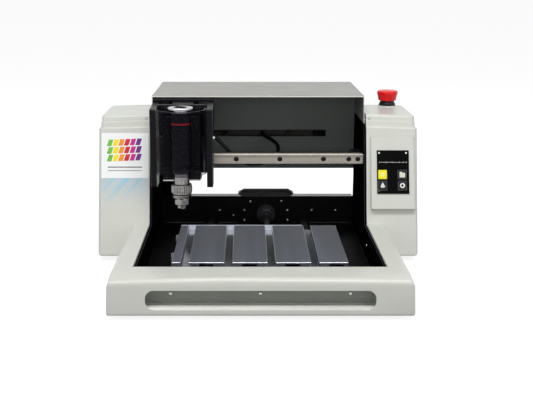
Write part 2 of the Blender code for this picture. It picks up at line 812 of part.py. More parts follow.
def make_tray_cover():
    cover = tray_form("front_tray_cover", 0.0)
    opening_half = INSIDE / 2 + FRAME_THICK + GAP
    reach = TRAY_HALF_TOP + TRAY_CORNER

    def well(name, outset):
        return block(
            name, "light_grey_paint",
            (-opening_half - outset, TRAY_OPENING_FRONT - outset, TRAY_BOTTOM - TRAY_CORNER),
            (opening_half + outset, TOWER_BACK, TRAY_TOP + TRAY_CORNER),
        )

    hollow = cut(tray_form("tray_hollow", WALL), well("tray_well_wall", WALL), recess_form("tray_recess_wall", WALL))
    behind = behind_lean("tray_end", GAP, reach, TRAY_BOTTOM - TRAY_CORNER, TRAY_TOP + TRAY_CORNER)
    return cut(cover, well("tray_well", 0.0), hollow, recess_form("tray_recess", 0.0), behind)


def make_tower_cover(name, side):
    inner = side * (INSIDE / 2 + FRAME_THICK + GAP)
    levels = (TOWER_BOTTOM, *TOWER_STEPS)
    shell = None
    for i, setback in enumerate(TOWER_SETBACKS):
        bottom = levels[i] - (WALL + TOWER_CROWN if i else 0)
        tier = leaning_block(
            name if i == 0 else f"{name}_tier_{i}", "light_grey_paint", inner,
            side * (TOWER_HALF - setback), bottom, levels[i + 1], setback, TOWER_BACK - setback,
            TOWER_CORNER, TOWER_CROWN,
        )
        round_rim(tier, TOWER_TOP_ROUND if levels[i + 1] == levels[-1] else TOWER_STEP_ROUND)
        if shell:
            join(shell, tier)
        else:
            shell = round_rim(tier, TOWER_FOOT_ROUND, upper=False)
    if side > 0:
        join(shell, rod(
            "stop_pad", "light_grey_paint", (STOP_X, STOP_Y, levels[-1] - WALL - TOWER_CROWN),
            (STOP_X, STOP_Y, levels[-1]), STOP_COLLAR_RADIUS + STOP_PAD_MARGIN, 40,
        ))
    lean_wall = WALL * math.hypot(1, LEAN_SHARE)
    ceiling = TOWER_STEPS[0] - TOWER_CROWN - WALL
    lower = leaning_block(
        name + "_hollow", "light_grey_paint", inner - side * OVERRUN, side * (TOWER_HALF - WALL),
        TOWER_BOTTOM - OVERRUN, ceiling, lean_wall, TOWER_BACK - WALL, TOWER_CORNER - WALL,
    )
    high_setback = TOWER_SETBACKS[-1]
    upper = leaning_block(
        name + "_upper_hollow", "light_grey_paint", inner + side * WALL,
        side * (TOWER_HALF - WALL - high_setback), ceiling - WALL, TOWER_STEPS[-1] - WALL,
        lean_wall + high_setback, TOWER_BACK - WALL - high_setback, TOWER_CORNER - WALL, TOWER_CROWN,
    )
    return cut(shell, lower, upper)


def make_hood():
    skirt = FRAME_TOP + GAP
    outline = [(HOOD_SKIRT_FRONT, skirt), (BACK, skirt), (BACK, HEIGHT), (HOOD_FRONT, HEIGHT)]
    hood = prism("hood", "light_grey_paint", outline, "X", -HOOD_HALF, HOOD_HALF)
    inner = HOOD_HALF - SHEET
    under = HEIGHT - SHEET
    inside = block(
        "hood_inside", "light_grey_paint",
        (-inner, HOOD_FRONT + SHEET, skirt - OVERRUN), (inner, BACK + OVERRUN, under),
    )
    mouth = block(
        "hood_mouth", "light_grey_paint",
        (-inner, HOOD_SKIRT_FRONT - OVERRUN, skirt - OVERRUN),
        (inner, HOOD_FRONT + SHEET + OVERRUN, HEIGHT - HOOD_HEM),
    )
    return cut(hood, inside, mouth)


def make_back_panel():
    half = INSIDE / 2 - GAP
    top = HEIGHT - SHEET - GAP
    outline = [(-half, PANEL_BOTTOM), (half, PANEL_BOTTOM), (half, top), (-half, top)]
    slot = rounded([
        (-SLOT_HALF, SLOT_BOTTOM, SHEET), (SLOT_HALF, SLOT_BOTTOM, SHEET),
        (SLOT_HALF, SLOT_TOP, SHEET), (-SLOT_HALF, SLOT_TOP, SHEET),
    ], 2)
    return prism("back_panel", "dark_grey_paint", outline, "Y", PANEL_FRONT, PANEL_FRONT + SHEET, [slot])


def make_rear_cover():
    half = INSIDE / 2 - GAP
    front = PANEL_FRONT + SHEET + GAP
    top = HEIGHT - SHEET - GAP
    outline = [
        (front, PANEL_BOTTOM), (COVER_BACK, PANEL_BOTTOM), (COVER_BACK, top), (COVER_BACK - SHEET, top),
        (COVER_BACK - SHEET, PANEL_BOTTOM + SHEET), (front, PANEL_BOTTOM + SHEET),
    ]
    cover = prism("rear_cover", "light_grey_paint", outline, "X", -half, half)
    vents = []
    for i in range(VENT_COUNT):
        x = VENT_X + (i - (VENT_COUNT - 1) / 2) * VENT_PITCH
        vents.append(block(
            f"vent_{i}", "light_grey_paint",
            (x - VENT_WIDE / 2, COVER_BACK - SHEET - OVERRUN, VENT_Z - VENT_TALL / 2),
            (x + VENT_WIDE / 2, COVER_BACK + OVERRUN, VENT_Z + VENT_TALL / 2),
        ))
    body = INLET_BODY_HALF + GAP
    inset = INLET_BODY_INSET - GAP
    window = block(
        "inlet_window", "light_grey_paint",
        (INLET_X - body, COVER_BACK - SHEET - OVERRUN, INLET_BOTTOM + inset),
        (INLET_X + body, COVER_BACK + OVERRUN, INLET_BOTTOM + INLET_TALL - inset),
    )
    return cut(cover, window, *vents)


def make_rear_wall():
    half = INSIDE / 2 - GAP
    foot = BASE_BOTTOM + BASE_THICK + GAP
    back = BAY_BACK + BAY_LEDGE
    outline = [
        (BAY_BACK, foot), (BAY_BACK + BAY_SHEET, foot), (BAY_BACK + BAY_SHEET, BAY_TOP - BAY_SHEET),
        (back, BAY_TOP - BAY_SHEET), (back, BAY_TOP), (BAY_BACK, BAY_TOP),
    ]
    wall = prism("rear_wall", "black_paint", outline, "X", -half, half)
    hole = rod(
        "rear_wall_hole", "black_paint", (Y_SCREW_X, BAY_BACK - OVERRUN, Y_SCREW_Z),
        (Y_SCREW_X, BAY_BACK + BAY_SHEET + OVERRUN, Y_SCREW_Z), Y_JOURNAL_RADIUS + RUNNING, 16,
    )
    return cut(wall, hole)


def motor_cover_outline(inset, foot):
    shoulder = BAY_TOP - inset / 2
    half = MOTOR_COVER_HALF - inset
    top_half = MOTOR_COVER_TOP_HALF - inset / 2
    top = MOTOR_COVER_TOP - inset
    middle = Y_SCREW_X
    return [
        (middle - half, foot), (middle + half, foot), (middle + half, shoulder),
        (middle + top_half, top), (middle - top_half, top), (middle - half, shoulder),
    ]


def over_motor_cover(inset, front):
    """What is above the top of the motor cover, which falls towards the back."""
    steep = MOTOR_COVER_FALL / (MOTOR_COVER_BACK - front)
    start = MOTOR_COVER_TOP - EDGE / 2 - inset
    ends = [
        (front - OVERRUN, start + OVERRUN * steep),
        (MOTOR_COVER_BACK + OVERRUN, start - MOTOR_COVER_FALL - OVERRUN * steep),
    ]
    roof = MOTOR_COVER_TOP + OVERRUN
    outline = [*ends, (ends[1][0], roof), (ends[0][0], roof)]
    return prism(
        "above_motor_cover", "black_paint", outline, "X",
        Y_SCREW_X - MOTOR_COVER_HALF - OVERRUN, Y_SCREW_X + MOTOR_COVER_HALF + OVERRUN,
    )


def make_y_motor_cover():
    foot = BASE_BOTTOM + BASE_THICK + GAP
    front = BAY_BACK + BAY_LEDGE + GAP
    outline = motor_cover_outline(0.0, foot)
    cover = prism("y_motor_cover", "black_paint", outline, "Y", front, MOTOR_COVER_BACK)
    hollow = prism(
        "motor_cover_hollow", "black_paint", motor_cover_outline(BAY_SHEET, foot - OVERRUN), "Y",
        front - OVERRUN, MOTOR_COVER_BACK - BAY_SHEET,
    )
    cut(hollow, over_motor_cover(BAY_SHEET, front))
    return cut(cover, over_motor_cover(0.0, front), hollow)


def bolt_hole(x):
    """The counterbore of a rail screw at x."""
    return rod(
        f"bolt_hole_{x:.4f}", "ground_steel", (x, RAIL_FACE - OVERRUN, X_RAIL_Z),
        (x, RAIL_FACE + BOLT_DEEP, X_RAIL_Z), BOLT_RADIUS, 16,
    )


def make_gantry():
    back = RAIL_FACE + X_RAIL_TALL
    section = [(back - (y - RAIL_FACE), z) for y, z in rail_outline(X_RAIL_WIDE, X_RAIL_TALL, X_RAIL_Z, RAIL_FACE)]
    rail = prism("x_rail", "ground_steel", section, "X", -X_RAIL_HALF, X_RAIL_HALF)
    places = [side * (BOLT_PITCH / 2 + i * BOLT_PITCH) for side in (-1, 1) for i in range(2)]
    places += [side * (BEAM_HALF - BOLT_END) for side in (-1, 1)]
    places += [side * (BEAM_HALF + X_RAIL_HALF) / 2 for side in (-1, 1)]
    cut(rail, *[bolt_hole(x) for x in places])
    beam = block(
        "gantry_beam", "black_paint",
        (-BEAM_HALF, back + GAP, BEAM_BOTTOM),
        (BEAM_HALF, back + GAP + BEAM_THICK, X_RAIL_Z + X_RAIL_WIDE / 2), EDGE,
    )
    return rail, beam


def make_gantry_end(name, side):
    """The bracket behind the rail's end, which holds the beam and the bearing of the X screw."""
    top = X_RAIL_Z + X_RAIL_WIDE / 2
    front = RAIL_FACE + X_RAIL_TALL + GAP
    outline = [(front, END_BOTTOM), (END_BACK, END_BOTTOM), (END_BACK, top), (front, top)]
    bore = arc((X_SCREW_Y, X_SCREW_Z), JOURNAL_RADIUS + RUNNING, 0, 345, 23)
    low, high = ordered(side * (BEAM_HALF + GAP), side * (INSIDE / 2 - GAP))
    return prism(name, "black_anodised", outline, "X", low, high, [bore])


def make_motor(name, axis, face, direction, size, long):
    """A stepper motor: two square end caps and a slightly slimmer stack between them."""
    face = Vector(face)
    along = {"X": 0, "Y": 1, "Z": 2}[axis]

    def section(part, start, end, half):
        low, high = face.copy(), face.copy()
        for i in range(3):
            if i == along:
                low[i], high[i] = ordered(face[i] + direction * start, face[i] + direction * end)
            else:
                low[i], high[i] = face[i] - half, face[i] + half
        piece = block(part, "black_anodised", low, high)
        bm = bmesh.new()
        bm.from_mesh(piece.data)
        lengthwise = [
            e for e in bm.edges
            if abs((e.verts[0].co - e.verts[1].co)[along]) > abs(end - start) / 2
        ]
        bmesh.ops.bevel(
            bm, geom=lengthwise, offset=MOTOR_EDGE, segments=1, profile=0.5, affect="EDGES", material=-1
        )
        bm.to_mesh(piece.data)
        bm.free()
        return piece

    half = size / 2
    motor = section(name, 0.0, long, half - MOTOR_WAIST)
    front = section(name + "_front_cap", 0.0, MOTOR_CAP, half)
    back = section(name + "_back_cap", long - MOTOR_CAP, long, half)
    return join(motor, front, back)


def make_carriage_cheek(name, side):
    outline = rounded([
        (CHEEK_FRONT, CHEEK_BOTTOM, CHEEK_CORNER), (CARRIAGE_BACK, CHEEK_BOTTOM, CHEEK_CORNER),
        (CARRIAGE_BACK, CHEEK_EAR_BOTTOM - CHEEK_THICK, CHEEK_CORNER),
        (CARRIAGE_BACK + CHEEK_THICK, CHEEK_EAR_BOTTOM, CHEEK_CORNER),
        (CHEEK_EAR_BACK, CHEEK_EAR_BOTTOM, CHEEK_CORNER), (CHEEK_EAR_BACK, CHEEK_TOP, 0),
        (TOP_PLATE_FRONT, CHEEK_TOP, 0), (CHEEK_FRONT, CHEEK_FRONT_TOP, CHEEK_CORNER),
    ])
    low, high = ordered(
        CARRIAGE_X + side * CHEEK_INNER_HALF, CARRIAGE_X + side * (CHEEK_INNER_HALF + CHEEK_THICK)
    )
    return prism(name, "black_anodised", outline, "X", low, high)


def make_carriage_back():
    half = CHEEK_INNER_HALF - GAP
    front = CARRIAGE_BACK - CARRIAGE_PLATE
    plate = block(
        "carriage_back_plate", "black_anodised",
        (CARRIAGE_X - half, front, BACK_PLATE_BOTTOM), (CARRIAGE_X + half, CARRIAGE_BACK, CHEEK_TOP), EDGE,
    )
    shelf = block(
        "motor_shelf", "black_anodised",
        (CARRIAGE_X - SHELF_HALF, CARRIAGE_BACK - EDGE * 2, Z_MOTOR_BOTTOM - GAP - SHELF_THICK),
        (CARRIAGE_X + SHELF_HALF, X_NUT_FRONT - GAP, Z_MOTOR_BOTTOM - GAP),
    )
    rails = []
    for side in (-1, 1):
        section = flipped(rail_outline(
            Z_RAIL_WIDE, Z_RAIL_TALL + EDGE * 2, CARRIAGE_X + side * Z_RAIL_X, 0.0
        ))
        section = [(x, front + EDGE * 2 - y) for x, y in section]
        rails.append(prism(
            f"z_rail_{side}", "ground_steel", section, "Z", Z_RAIL_BOTTOM, CHEEK_TOP - CHEEK_CORNER
        ))
    window = block(
        "nut_window", "black_anodised",
        (CARRIAGE_X - CARRIAGE_WINDOW_HALF, front - OVERRUN, CARRIAGE_WINDOW_BOTTOM),
        (CARRIAGE_X + CARRIAGE_WINDOW_HALF, CARRIAGE_BACK + OVERRUN, CARRIAGE_WINDOW_BOTTOM + CARRIAGE_WINDOW_TALL),
    )
    hole = rod(
        "shelf_hole", "black_anodised", (CARRIAGE_X, Z_SCREW_Y, Z_MOTOR_BOTTOM - SHELF_THICK - OVERRUN),
        (CARRIAGE_X, Z_SCREW_Y, Z_MOTOR_BOTTOM + OVERRUN), Z_SCREW_RADIUS + RUNNING, 16,
    )
    return cut(join(plate, shelf, *rails), window, hole)


def make_top_plate():
    half = CHEEK_INNER_HALF + CHEEK_THICK
    return block(
        "carriage_top_plate", "black_anodised",
        (CARRIAGE_X - half, TOP_PLATE_FRONT, CHEEK_TOP + GAP),
        (CARRIAGE_X + half, CHEEK_EAR_BACK, CHEEK_TOP + GAP + TOP_PLATE_THICK), EDGE,
    )


def make_x_block(name, side):
    front = CARRIAGE_BACK + GAP
    back = front + X_BLOCK_DEEP
    channel = u_outline(
        X_BLOCK_HALF, front, back, X_RAIL_WIDE / 2 + RUNNING, RAIL_FACE - RUNNING, SHEET
    )
    outline = [(y, X_RAIL_Z + across) for across, y in channel]
    middle = CARRIAGE_X + side * X_BLOCK_SPREAD
    half = X_BLOCK_LONG / 2
    return prism(name, "ground_steel", outline, "X", middle - half, middle + half)


def make_x_nut():
    hanger = block(
        "x_nut", "black_anodised",
        (CARRIAGE_X - X_HANGER_HALF, X_NUT_FRONT, X_SCREW_Z - X_NUT_RISE),
        (CARRIAGE_X + X_HANGER_HALF, X_NUT_FRONT + X_NUT_SHEET, CHEEK_TOP),
    )
    nut = block(
        "x_nut_body", "black_anodised",
        (CARRIAGE_X - X_NUT_HALF, X_NUT_FRONT + EDGE, X_SCREW_Z - X_NUT_RISE),
        (CARRIAGE_X + X_NUT_HALF, END_BACK, X_SCREW_Z + X_NUT_RISE), EDGE,
    )
    bore = rod(
        "x_nut_bore", "black_anodised", (CARRIAGE_X - X_HANGER_HALF - OVERRUN, X_SCREW_Y, X_SCREW_Z),
        (CARRIAGE_X + X_HANGER_HALF + OVERRUN, X_SCREW_Y, X_SCREW_Z), X_SCREW_RADIUS + RUNNING, 24,
    )
    return cut(join(hanger, nut), bore)


def make_shield():
    inner = SHIELD_RADIUS - SHIELD_SHEET
    leg = SPINDLE_Y + SHIELD_LEG
    centre = (CARRIAGE_X, SPINDLE_Y)
    outer_arc = arc(centre, SHIELD_RADIUS, 180, 360, 24)
    inner_arc = arc(centre, inner, 360, 180, 24)
    outline = [
        (CARRIAGE_X - SHIELD_RADIUS, leg), *outer_arc, (CARRIAGE_X + SHIELD_RADIUS, leg),
        (CARRIAGE_X + inner, leg), *inner_arc, (CARRIAGE_X - inner, leg),
    ]
    return prism("spindle_shield", "smoked_acrylic", outline, "Z", SHIELD_BOTTOM, SHIELD_TOP)


def make_z_slide():
    back = Z_PLATE_FRONT + Z_PLATE_THICK
    plate = block(
        "z_slide_plate", "black_anodised",
        (CARRIAGE_X - Z_PLATE_HALF, Z_PLATE_FRONT, Z_PLATE_BOTTOM),
        (CARRIAGE_X + Z_PLATE_HALF, back, Z_PLATE_TOP), EDGE,
    )
    more = []
    rail_face = CARRIAGE_BACK - CARRIAGE_PLATE - Z_RAIL_TALL
    for side in (-1, 1):
        section = u_outline(
            Z_BLOCK_WIDE / 2, back - EDGE * 2, back + Z_BLOCK_TALL, Z_RAIL_WIDE / 2 + RUNNING,
            rail_face - RUNNING, EDGE,
        )
        section = [(CARRIAGE_X + side * Z_RAIL_X + x, y) for x, y in section]
        for bottom in Z_BLOCK_BOTTOMS:
            more.append(prism(
                f"z_block_{side}_{bottom}", "ground_steel", section, "Z", bottom, bottom + Z_BLOCK_LONG
            ))
    nut = block(
        "z_nut_arm", "black_anodised",
        (CARRIAGE_X - Z_NUT_HALF, back - EDGE * 2, Z_NUT_BOTTOM),
        (CARRIAGE_X + Z_NUT_HALF, Z_SCREW_Y + Z_NUT_HALF, Z_NUT_BOTTOM + Z_NUT_TALL),
    )
    clamp = block(
        "upper_clamp", "black_anodised",
        (CARRIAGE_X - UPPER_CLAMP_HALF, CLAMP_FRONT, UPPER_CLAMP_BOTTOM),
        (CARRIAGE_X + UPPER_CLAMP_HALF, Z_PLATE_FRONT + EDGE * 2, UPPER_CLAMP_BOTTOM + CLAMP_TALL),
    )
    bore = rod(
        "upper_clamp_bore", "black_anodised", (CARRIAGE_X, SPINDLE_Y, UPPER_CLAMP_BOTTOM - OVERRUN),
        (CARRIAGE_X, SPINDLE_Y, UPPER_CLAMP_BOTTOM + CLAMP_TALL + OVERRUN), BODY_RADIUS + GAP, 48,
    )
    screw = rod(
        "z_nut_bore", "black_anodised", (CARRIAGE_X, Z_SCREW_Y, Z_NUT_BOTTOM - OVERRUN),
        (CARRIAGE_X, Z_SCREW_Y, Z_NUT_BOTTOM + Z_NUT_TALL + OVERRUN), Z_SCREW_RADIUS + RUNNING, 16,
    )
    return cut(join(plate, nut, clamp, *more), bore, screw)


def make_lower_clamp():
    clamp = block(
        "spindle_clamp", "black_anodised",
        (CARRIAGE_X - CLAMP_HALF, CLAMP_FRONT, Z_PLATE_BOTTOM),
        (CARRIAGE_X + CLAMP_HALF, Z_PLATE_FRONT - GAP, Z_PLATE_BOTTOM + CLAMP_TALL), EDGE,
    )
    barrel = rod(
        "clamp_barrel_seat", "black_anodised", (CARRIAGE_X, SPINDLE_Y, Z_PLATE_BOTTOM - OVERRUN),
        (CARRIAGE_X, SPINDLE_Y, BODY_BOTTOM), BARREL_RADIUS + GAP, 48,
    )
    body = rod(
        "clamp_body_seat", "black_anodised", (CARRIAGE_X, SPINDLE_Y, BODY_BOTTOM - GAP),
        (CARRIAGE_X, SPINDLE_Y, Z_PLATE_BOTTOM + CLAMP_TALL + OVERRUN), BODY_RADIUS + GAP, 48,
    )
    return cut(clamp, barrel, body)


def make_spindle():
    at = (CARRIAGE_X, SPINDLE_Y, 0)
    bore = SHANK_RADIUS + RUNNING
    waist = BODY_RADIUS - BODY_GROOVE_DEEP
    groove_top, groove_bottom = BODY_GROOVE_Z + BODY_GROOVE_HALF, BODY_GROOVE_Z - BODY_GROOVE_HALF
    body = turned("spindle_body", "black_anodised", [
        (bore, NECK_TOP), (NECK_RADIUS, NECK_TOP), (NECK_RADIUS, BODY_TOP), (BODY_RADIUS - EDGE, BODY_TOP),
        (BODY_RADIUS, BODY_TOP - EDGE), (BODY_RADIUS, groove_top), (waist, groove_top),
        (waist, groove_bottom), (BODY_RADIUS, groove_bottom), (BODY_RADIUS, BODY_BOTTOM), (bore, BODY_BOTTOM),
    ], place=at, sides=40)
    tube = NOSE_TUBE_RADIUS + RUNNING
    top = BODY_BOTTOM - GAP
    roof = top - BARREL_ROOF
    barrel = turned("micrometer_barrel", "bright_steel", [
        (bore, top), (BARREL_RADIUS, top), (BARREL_RADIUS, BARREL_BOTTOM), (tube, BARREL_BOTTOM),
        (tube, roof), (bore, roof),
    ], place=at, sides=40)
    cutter = turned("cutter", "bright_steel", [
        (0, NECK_TOP), (SHANK_RADIUS, NECK_TOP), (SHANK_RADIUS, CUTTER_STEP), (CUTTER_RADIUS, CUTTER_STEP),
        (CUTTER_RADIUS, CUTTER_CONE), (CUTTER_FLAT, CUTTER_POINT), (0, CUTTER_POINT),
    ], place=at, sides=24)
    low = NECK_TOP + GAP
    high = low + KNOB_THICK
    knob = turned("cutter_knob", "bright_steel", [
        (0, high), (KNOB_RADIUS - KNOB_ROUND, high), (KNOB_RADIUS, high - KNOB_ROUND),
        (KNOB_RADIUS, low + KNOB_ROUND), (KNOB_RADIUS - KNOB_ROUND, low), (0, low),
    ], place=at, sides=48)
    return body, barrel, cutter, knob


def make_depth_ring():
    """The knurled ring that sets the depth: its grip is a row of flutes."""
    steps = RING_FLUTES * 2
    outline = []
    for i in range(steps):
        radius = RING_RADIUS - (RING_FLUTE_DEEP if i % 2 else 0)
        turn = 2 * math.pi * i / steps
        outline.append((CARRIAGE_X + radius * math.cos(turn), SPINDLE_Y + radius * math.sin(turn)))
    bore = arc((CARRIAGE_X, SPINDLE_Y), NOSE_TUBE_RADIUS + RUNNING, 0, 352.5, 47)
    return prism("depth_ring", "bright_steel", outline, "Z", RING_BOTTOM, BARREL_BOTTOM - GAP, [bore])


def make_depth_nose():
    """The part of the spindle that the ring screws up and down: a tube, a flange, a nut and the tip."""
    at = (CARRIAGE_X, SPINDLE_Y, 0)
    neck = NOSE_TUBE_RADIUS - EDGE
    nose = turned("depth_nose", "bright_steel", [
        (0, NOSE_TUBE_TOP), (NOSE_TUBE_RADIUS, NOSE_TUBE_TOP), (NOSE_TUBE_RADIUS, NOSE_FLANGE_TOP),
        (NOSE_FLANGE_RADIUS, NOSE_FLANGE_TOP), (NOSE_FLANGE_RADIUS, NOSE_FLANGE_BOTTOM),
        (neck, NOSE_FLANGE_BOTTOM), (neck, NUT_BOTTOM + EDGE), (TIP_RADIUS, NUT_BOTTOM + EDGE),
        (TIP_RADIUS, TIP_BOTTOM + TIP_CHAMFER), (TIP_RADIUS - TIP_CHAMFER, TIP_BOTTOM), (0, TIP_BOTTOM),
    ], place=at, sides=40)
    corners = arc((CARRIAGE_X, SPINDLE_Y), NUT_RADIUS, 0, 300, 5)
    nut = prism("nose_nut", "bright_steel", corners, "Z", NUT_BOTTOM, NUT_TOP)
    shank = rod(
        "nose_bore", "bright_steel", (CARRIAGE_X, SPINDLE_Y, CUTTER_STEP - OVERRUN),
        (CARRIAGE_X, SPINDLE_Y, NOSE_TUBE_TOP + OVERRUN), SHANK_RADIUS + RUNNING, 24,
    )
    tip = rod(
        "tip_bore", "bright_steel", (CARRIAGE_X, SPINDLE_Y, TIP_BOTTOM - OVERRUN),
        (CARRIAGE_X, SPINDLE_Y, CUTTER_STEP), CUTTER_RADIUS + RUNNING, 24,
    )
    return cut(join(nose, nut), shank, tip)


def make_screws():
    half = INSIDE / 2
    motor_side = -(half + FRAME_THICK)
    thread = BEAM_HALF - OVERRUN
    x_screw = turned("x_screw", "bright_steel", [
        (0, half - GAP), (JOURNAL_RADIUS, half - GAP), (JOURNAL_RADIUS, thread), (X_SCREW_RADIUS, thread),
        (X_SCREW_RADIUS, -thread), (JOURNAL_RADIUS, -thread), (JOURNAL_RADIUS, motor_side), (0, motor_side),
    ], "X", (0, X_SCREW_Y, X_SCREW_Z), 24)
    front = PILLOW_FRONT
    thread_front = PILLOW_FRONT + PILLOW_LONG + GAP
    thread_back = BAY_BACK - GAP - HUB_THICK - HUB_BOSS - GAP
    back = BAY_BACK + BAY_SHEET
    y_screw = turned("y_screw", "bright_steel", [
        (0, back), (Y_JOURNAL_RADIUS, back), (Y_JOURNAL_RADIUS, thread_back), (Y_SCREW_RADIUS, thread_back),
        (Y_SCREW_RADIUS, thread_front), (Y_JOURNAL_RADIUS, thread_front), (Y_JOURNAL_RADIUS, front), (0, front),
    ], "Y", (Y_SCREW_X, 0, Y_SCREW_Z), 24)
    z_top = Z_MOTOR_BOTTOM - GAP
    z_screw = turned("z_screw", "bright_steel", [
        (0, z_top), (Z_SCREW_RADIUS, z_top), (Z_SCREW_RADIUS, Z_SCREW_BOTTOM), (0, Z_SCREW_BOTTOM),
    ], "Z", (CARRIAGE_X, Z_SCREW_Y, 0), 24)
    return x_screw, y_screw, z_screw


def make_table():
    """The T-slot plate: four slots open at the top, and a hollow chamber under each plank."""
    bottom = TABLE_TOP - TABLE_THICK
    neck = TABLE_TOP - SLOT_NECK
    deep = TABLE_TOP - SLOT_DEEP
    outline = [(-TABLE_HALF, bottom), (TABLE_HALF, bottom), (TABLE_HALF, TABLE_TOP)]
    centres = [FIRST_SLOT_X + i * SLOT_PITCH for i in range(SLOT_COUNT)]
    for x in reversed(centres):
        mouth, undercut = SLOT_MOUTH / 2, SLOT_UNDERCUT / 2
        outline += [
            (x + mouth, TABLE_TOP), (x + mouth, neck), (x + undercut, neck), (x + undercut, deep),
            (x - undercut, deep), (x - undercut, neck), (x - mouth, neck), (x - mouth, TABLE_TOP),
        ]
    outline.append((-TABLE_HALF, TABLE_TOP))
    low = bottom + (TABLE_THICK - CHAMBER_TALL) / 2
    high = low + CHAMBER_TALL
    holes = []
    for x in centres:
        middle = x + CHAMBER_OFFSET
        left, right = middle - CHAMBER_WIDE / 2, middle + CHAMBER_WIDE / 2
        holes.append([(left, low), (right, low), (right, high), (left, high)])
    return prism("t_slot_table", "table_aluminium", outline, "Y", TABLE_FRONT, TABLE_BACK, holes)


def make_saddle():
    """The table's carriage: a plate on four guide blocks, with the nut of the Y screw under it."""
    top = TABLE_TOP - TABLE_THICK - GAP
    bottom = top - SADDLE_THICK
    plate = block(
        "table_carriage", "black_anodised", (-SADDLE_HALF, SADDLE_FRONT, bottom),
        (SADDLE_HALF, SADDLE_BACK, top), EDGE,
    )
    rail_top = BASE_BOTTOM + BASE_THICK + GAP + RISER_TALL + Y_RAIL_TALL
    section = u_outline(
        Y_BLOCK_WIDE / 2, bottom + EDGE * 2, Y_BLOCK_BOTTOM, Y_RAIL_WIDE / 2 + RUNNING, rail_top + RUNNING, EDGE
    )
    more = []
    for side in (-1, 1):
        outline = [(side * Y_RAIL_X + x, z) for x, z in section]
        for front in Y_BLOCK_FRONTS:
            more.append(prism(
                f"y_block_{side}_{front}", "ground_steel", outline, "Y", front, front + Y_BLOCK_LONG
            ))
    nut = block(
        "y_nut", "ground_steel", (Y_SCREW_X - Y_NUT_HALF, Y_NUT_FRONT, Y_NUT_BOTTOM),
        (Y_SCREW_X + Y_NUT_HALF, Y_NUT_FRONT + Y_NUT_LONG, bottom + EDGE * 2), EDGE,
    )
    bore = rod(
        "y_nut_bore", "ground_steel", (Y_SCREW_X, Y_NUT_FRONT - OVERRUN, Y_SCREW_Z),
        (Y_SCREW_X, Y_NUT_FRONT + Y_NUT_LONG + OVERRUN, Y_SCREW_Z), Y_SCREW_RADIUS + RUNNING, 24,
    )
    return cut(join(plate, nut, *more), bore)


def make_y_rail(name, side):
    foot = BASE_BOTTOM + BASE_THICK + GAP
    riser = block(
        name, "ground_steel", (side * Y_RAIL_X - RISER_WIDE / 2, Y_RAIL_FRONT, foot),
        (side * Y_RAIL_X + RISER_WIDE / 2, Y_RAIL_BACK, foot + RISER_TALL),
    )
    section = flipped(rail_outline(
        Y_RAIL_WIDE, Y_RAIL_TALL + EDGE * 2, side * Y_RAIL_X, foot + RISER_TALL - EDGE * 2
    ))
    top = prism(name + "_top", "ground_steel", section, "Y", Y_RAIL_FRONT, Y_RAIL_BACK)
    return join(riser, top)


def make_hub():
    wall = BAY_BACK - GAP
    face = wall - HUB_THICK
    bore = Y_JOURNAL_RADIUS + RUNNING
    return turned("y_bearing_hub", "black_anodised", [
        (bore, wall), (HUB_RADIUS, wall), (HUB_RADIUS, face + EDGE), (HUB_RADIUS - EDGE, face),
        (HUB_BOSS_RADIUS, face), (HUB_BOSS_RADIUS, face - HUB_BOSS), (bore, face - HUB_BOSS),
    ], "Y", (Y_SCREW_X, 0, Y_SCREW_Z), 40)


def make_pod():
    """The control pod: a wedge on the leaning face of the right tower."""
    top = lean_y(POD_TOP) - GAP * 2
    bottom = lean_y(POD_BOTTOM) - GAP * 2
    outline = [
        (bottom, POD_BOTTOM), (top, POD_TOP), (top - POD_PROUD_TOP, POD_TOP),
        (bottom - POD_PROUD_BOTTOM, POD_BOTTOM),
    ]
    pod = prism("control_pod", "light_grey_paint", outline, "X", POD_LEFT, POD_RIGHT)
    bevel = pod.modifiers.new("Edges", "BEVEL")
    bevel.width = POD_EDGE
    bevel.segments = 1
    bevel.limit_method = "ANGLE"
    return pod


POD_FACE_BOTTOM = Vector((0, lean_y(POD_BOTTOM) - GAP * 2 - POD_PROUD_BOTTOM, POD_BOTTOM))
POD_FACE_TOP = Vector((0, lean_y(POD_TOP) - GAP * 2 - POD_PROUD_TOP, POD_TOP))
POD_UP = (POD_FACE_TOP - POD_FACE_BOTTOM).normalized()
POD_OUT = Vector((0, -POD_UP.z, POD_UP.y))
POD_TILT = math.atan2(POD_UP.y, POD_UP.z)


def on_pod(name, finish, left, right, low, high, inner, outer, edge=0.0):
    """A slab on the pod's face: sides and heights in the machine's x and z, depths off the face."""
    rise = 1 / POD_UP.z
    middle_z = (low + high) / 2
    foot = POD_FACE_BOTTOM + POD_UP * (middle_z - POD_BOTTOM) * rise
    centre = foot + POD_OUT * (inner + outer) / 2
    centre.x = (left + right) / 2
    half = Vector(((right - left) / 2, (outer - inner) / 2, (high - low) / 2 * rise))
    slab = block(name, finish, -half, half, edge)
    slab.location = centre
    slab.rotation_euler = (-POD_TILT, 0, 0)
    return slab


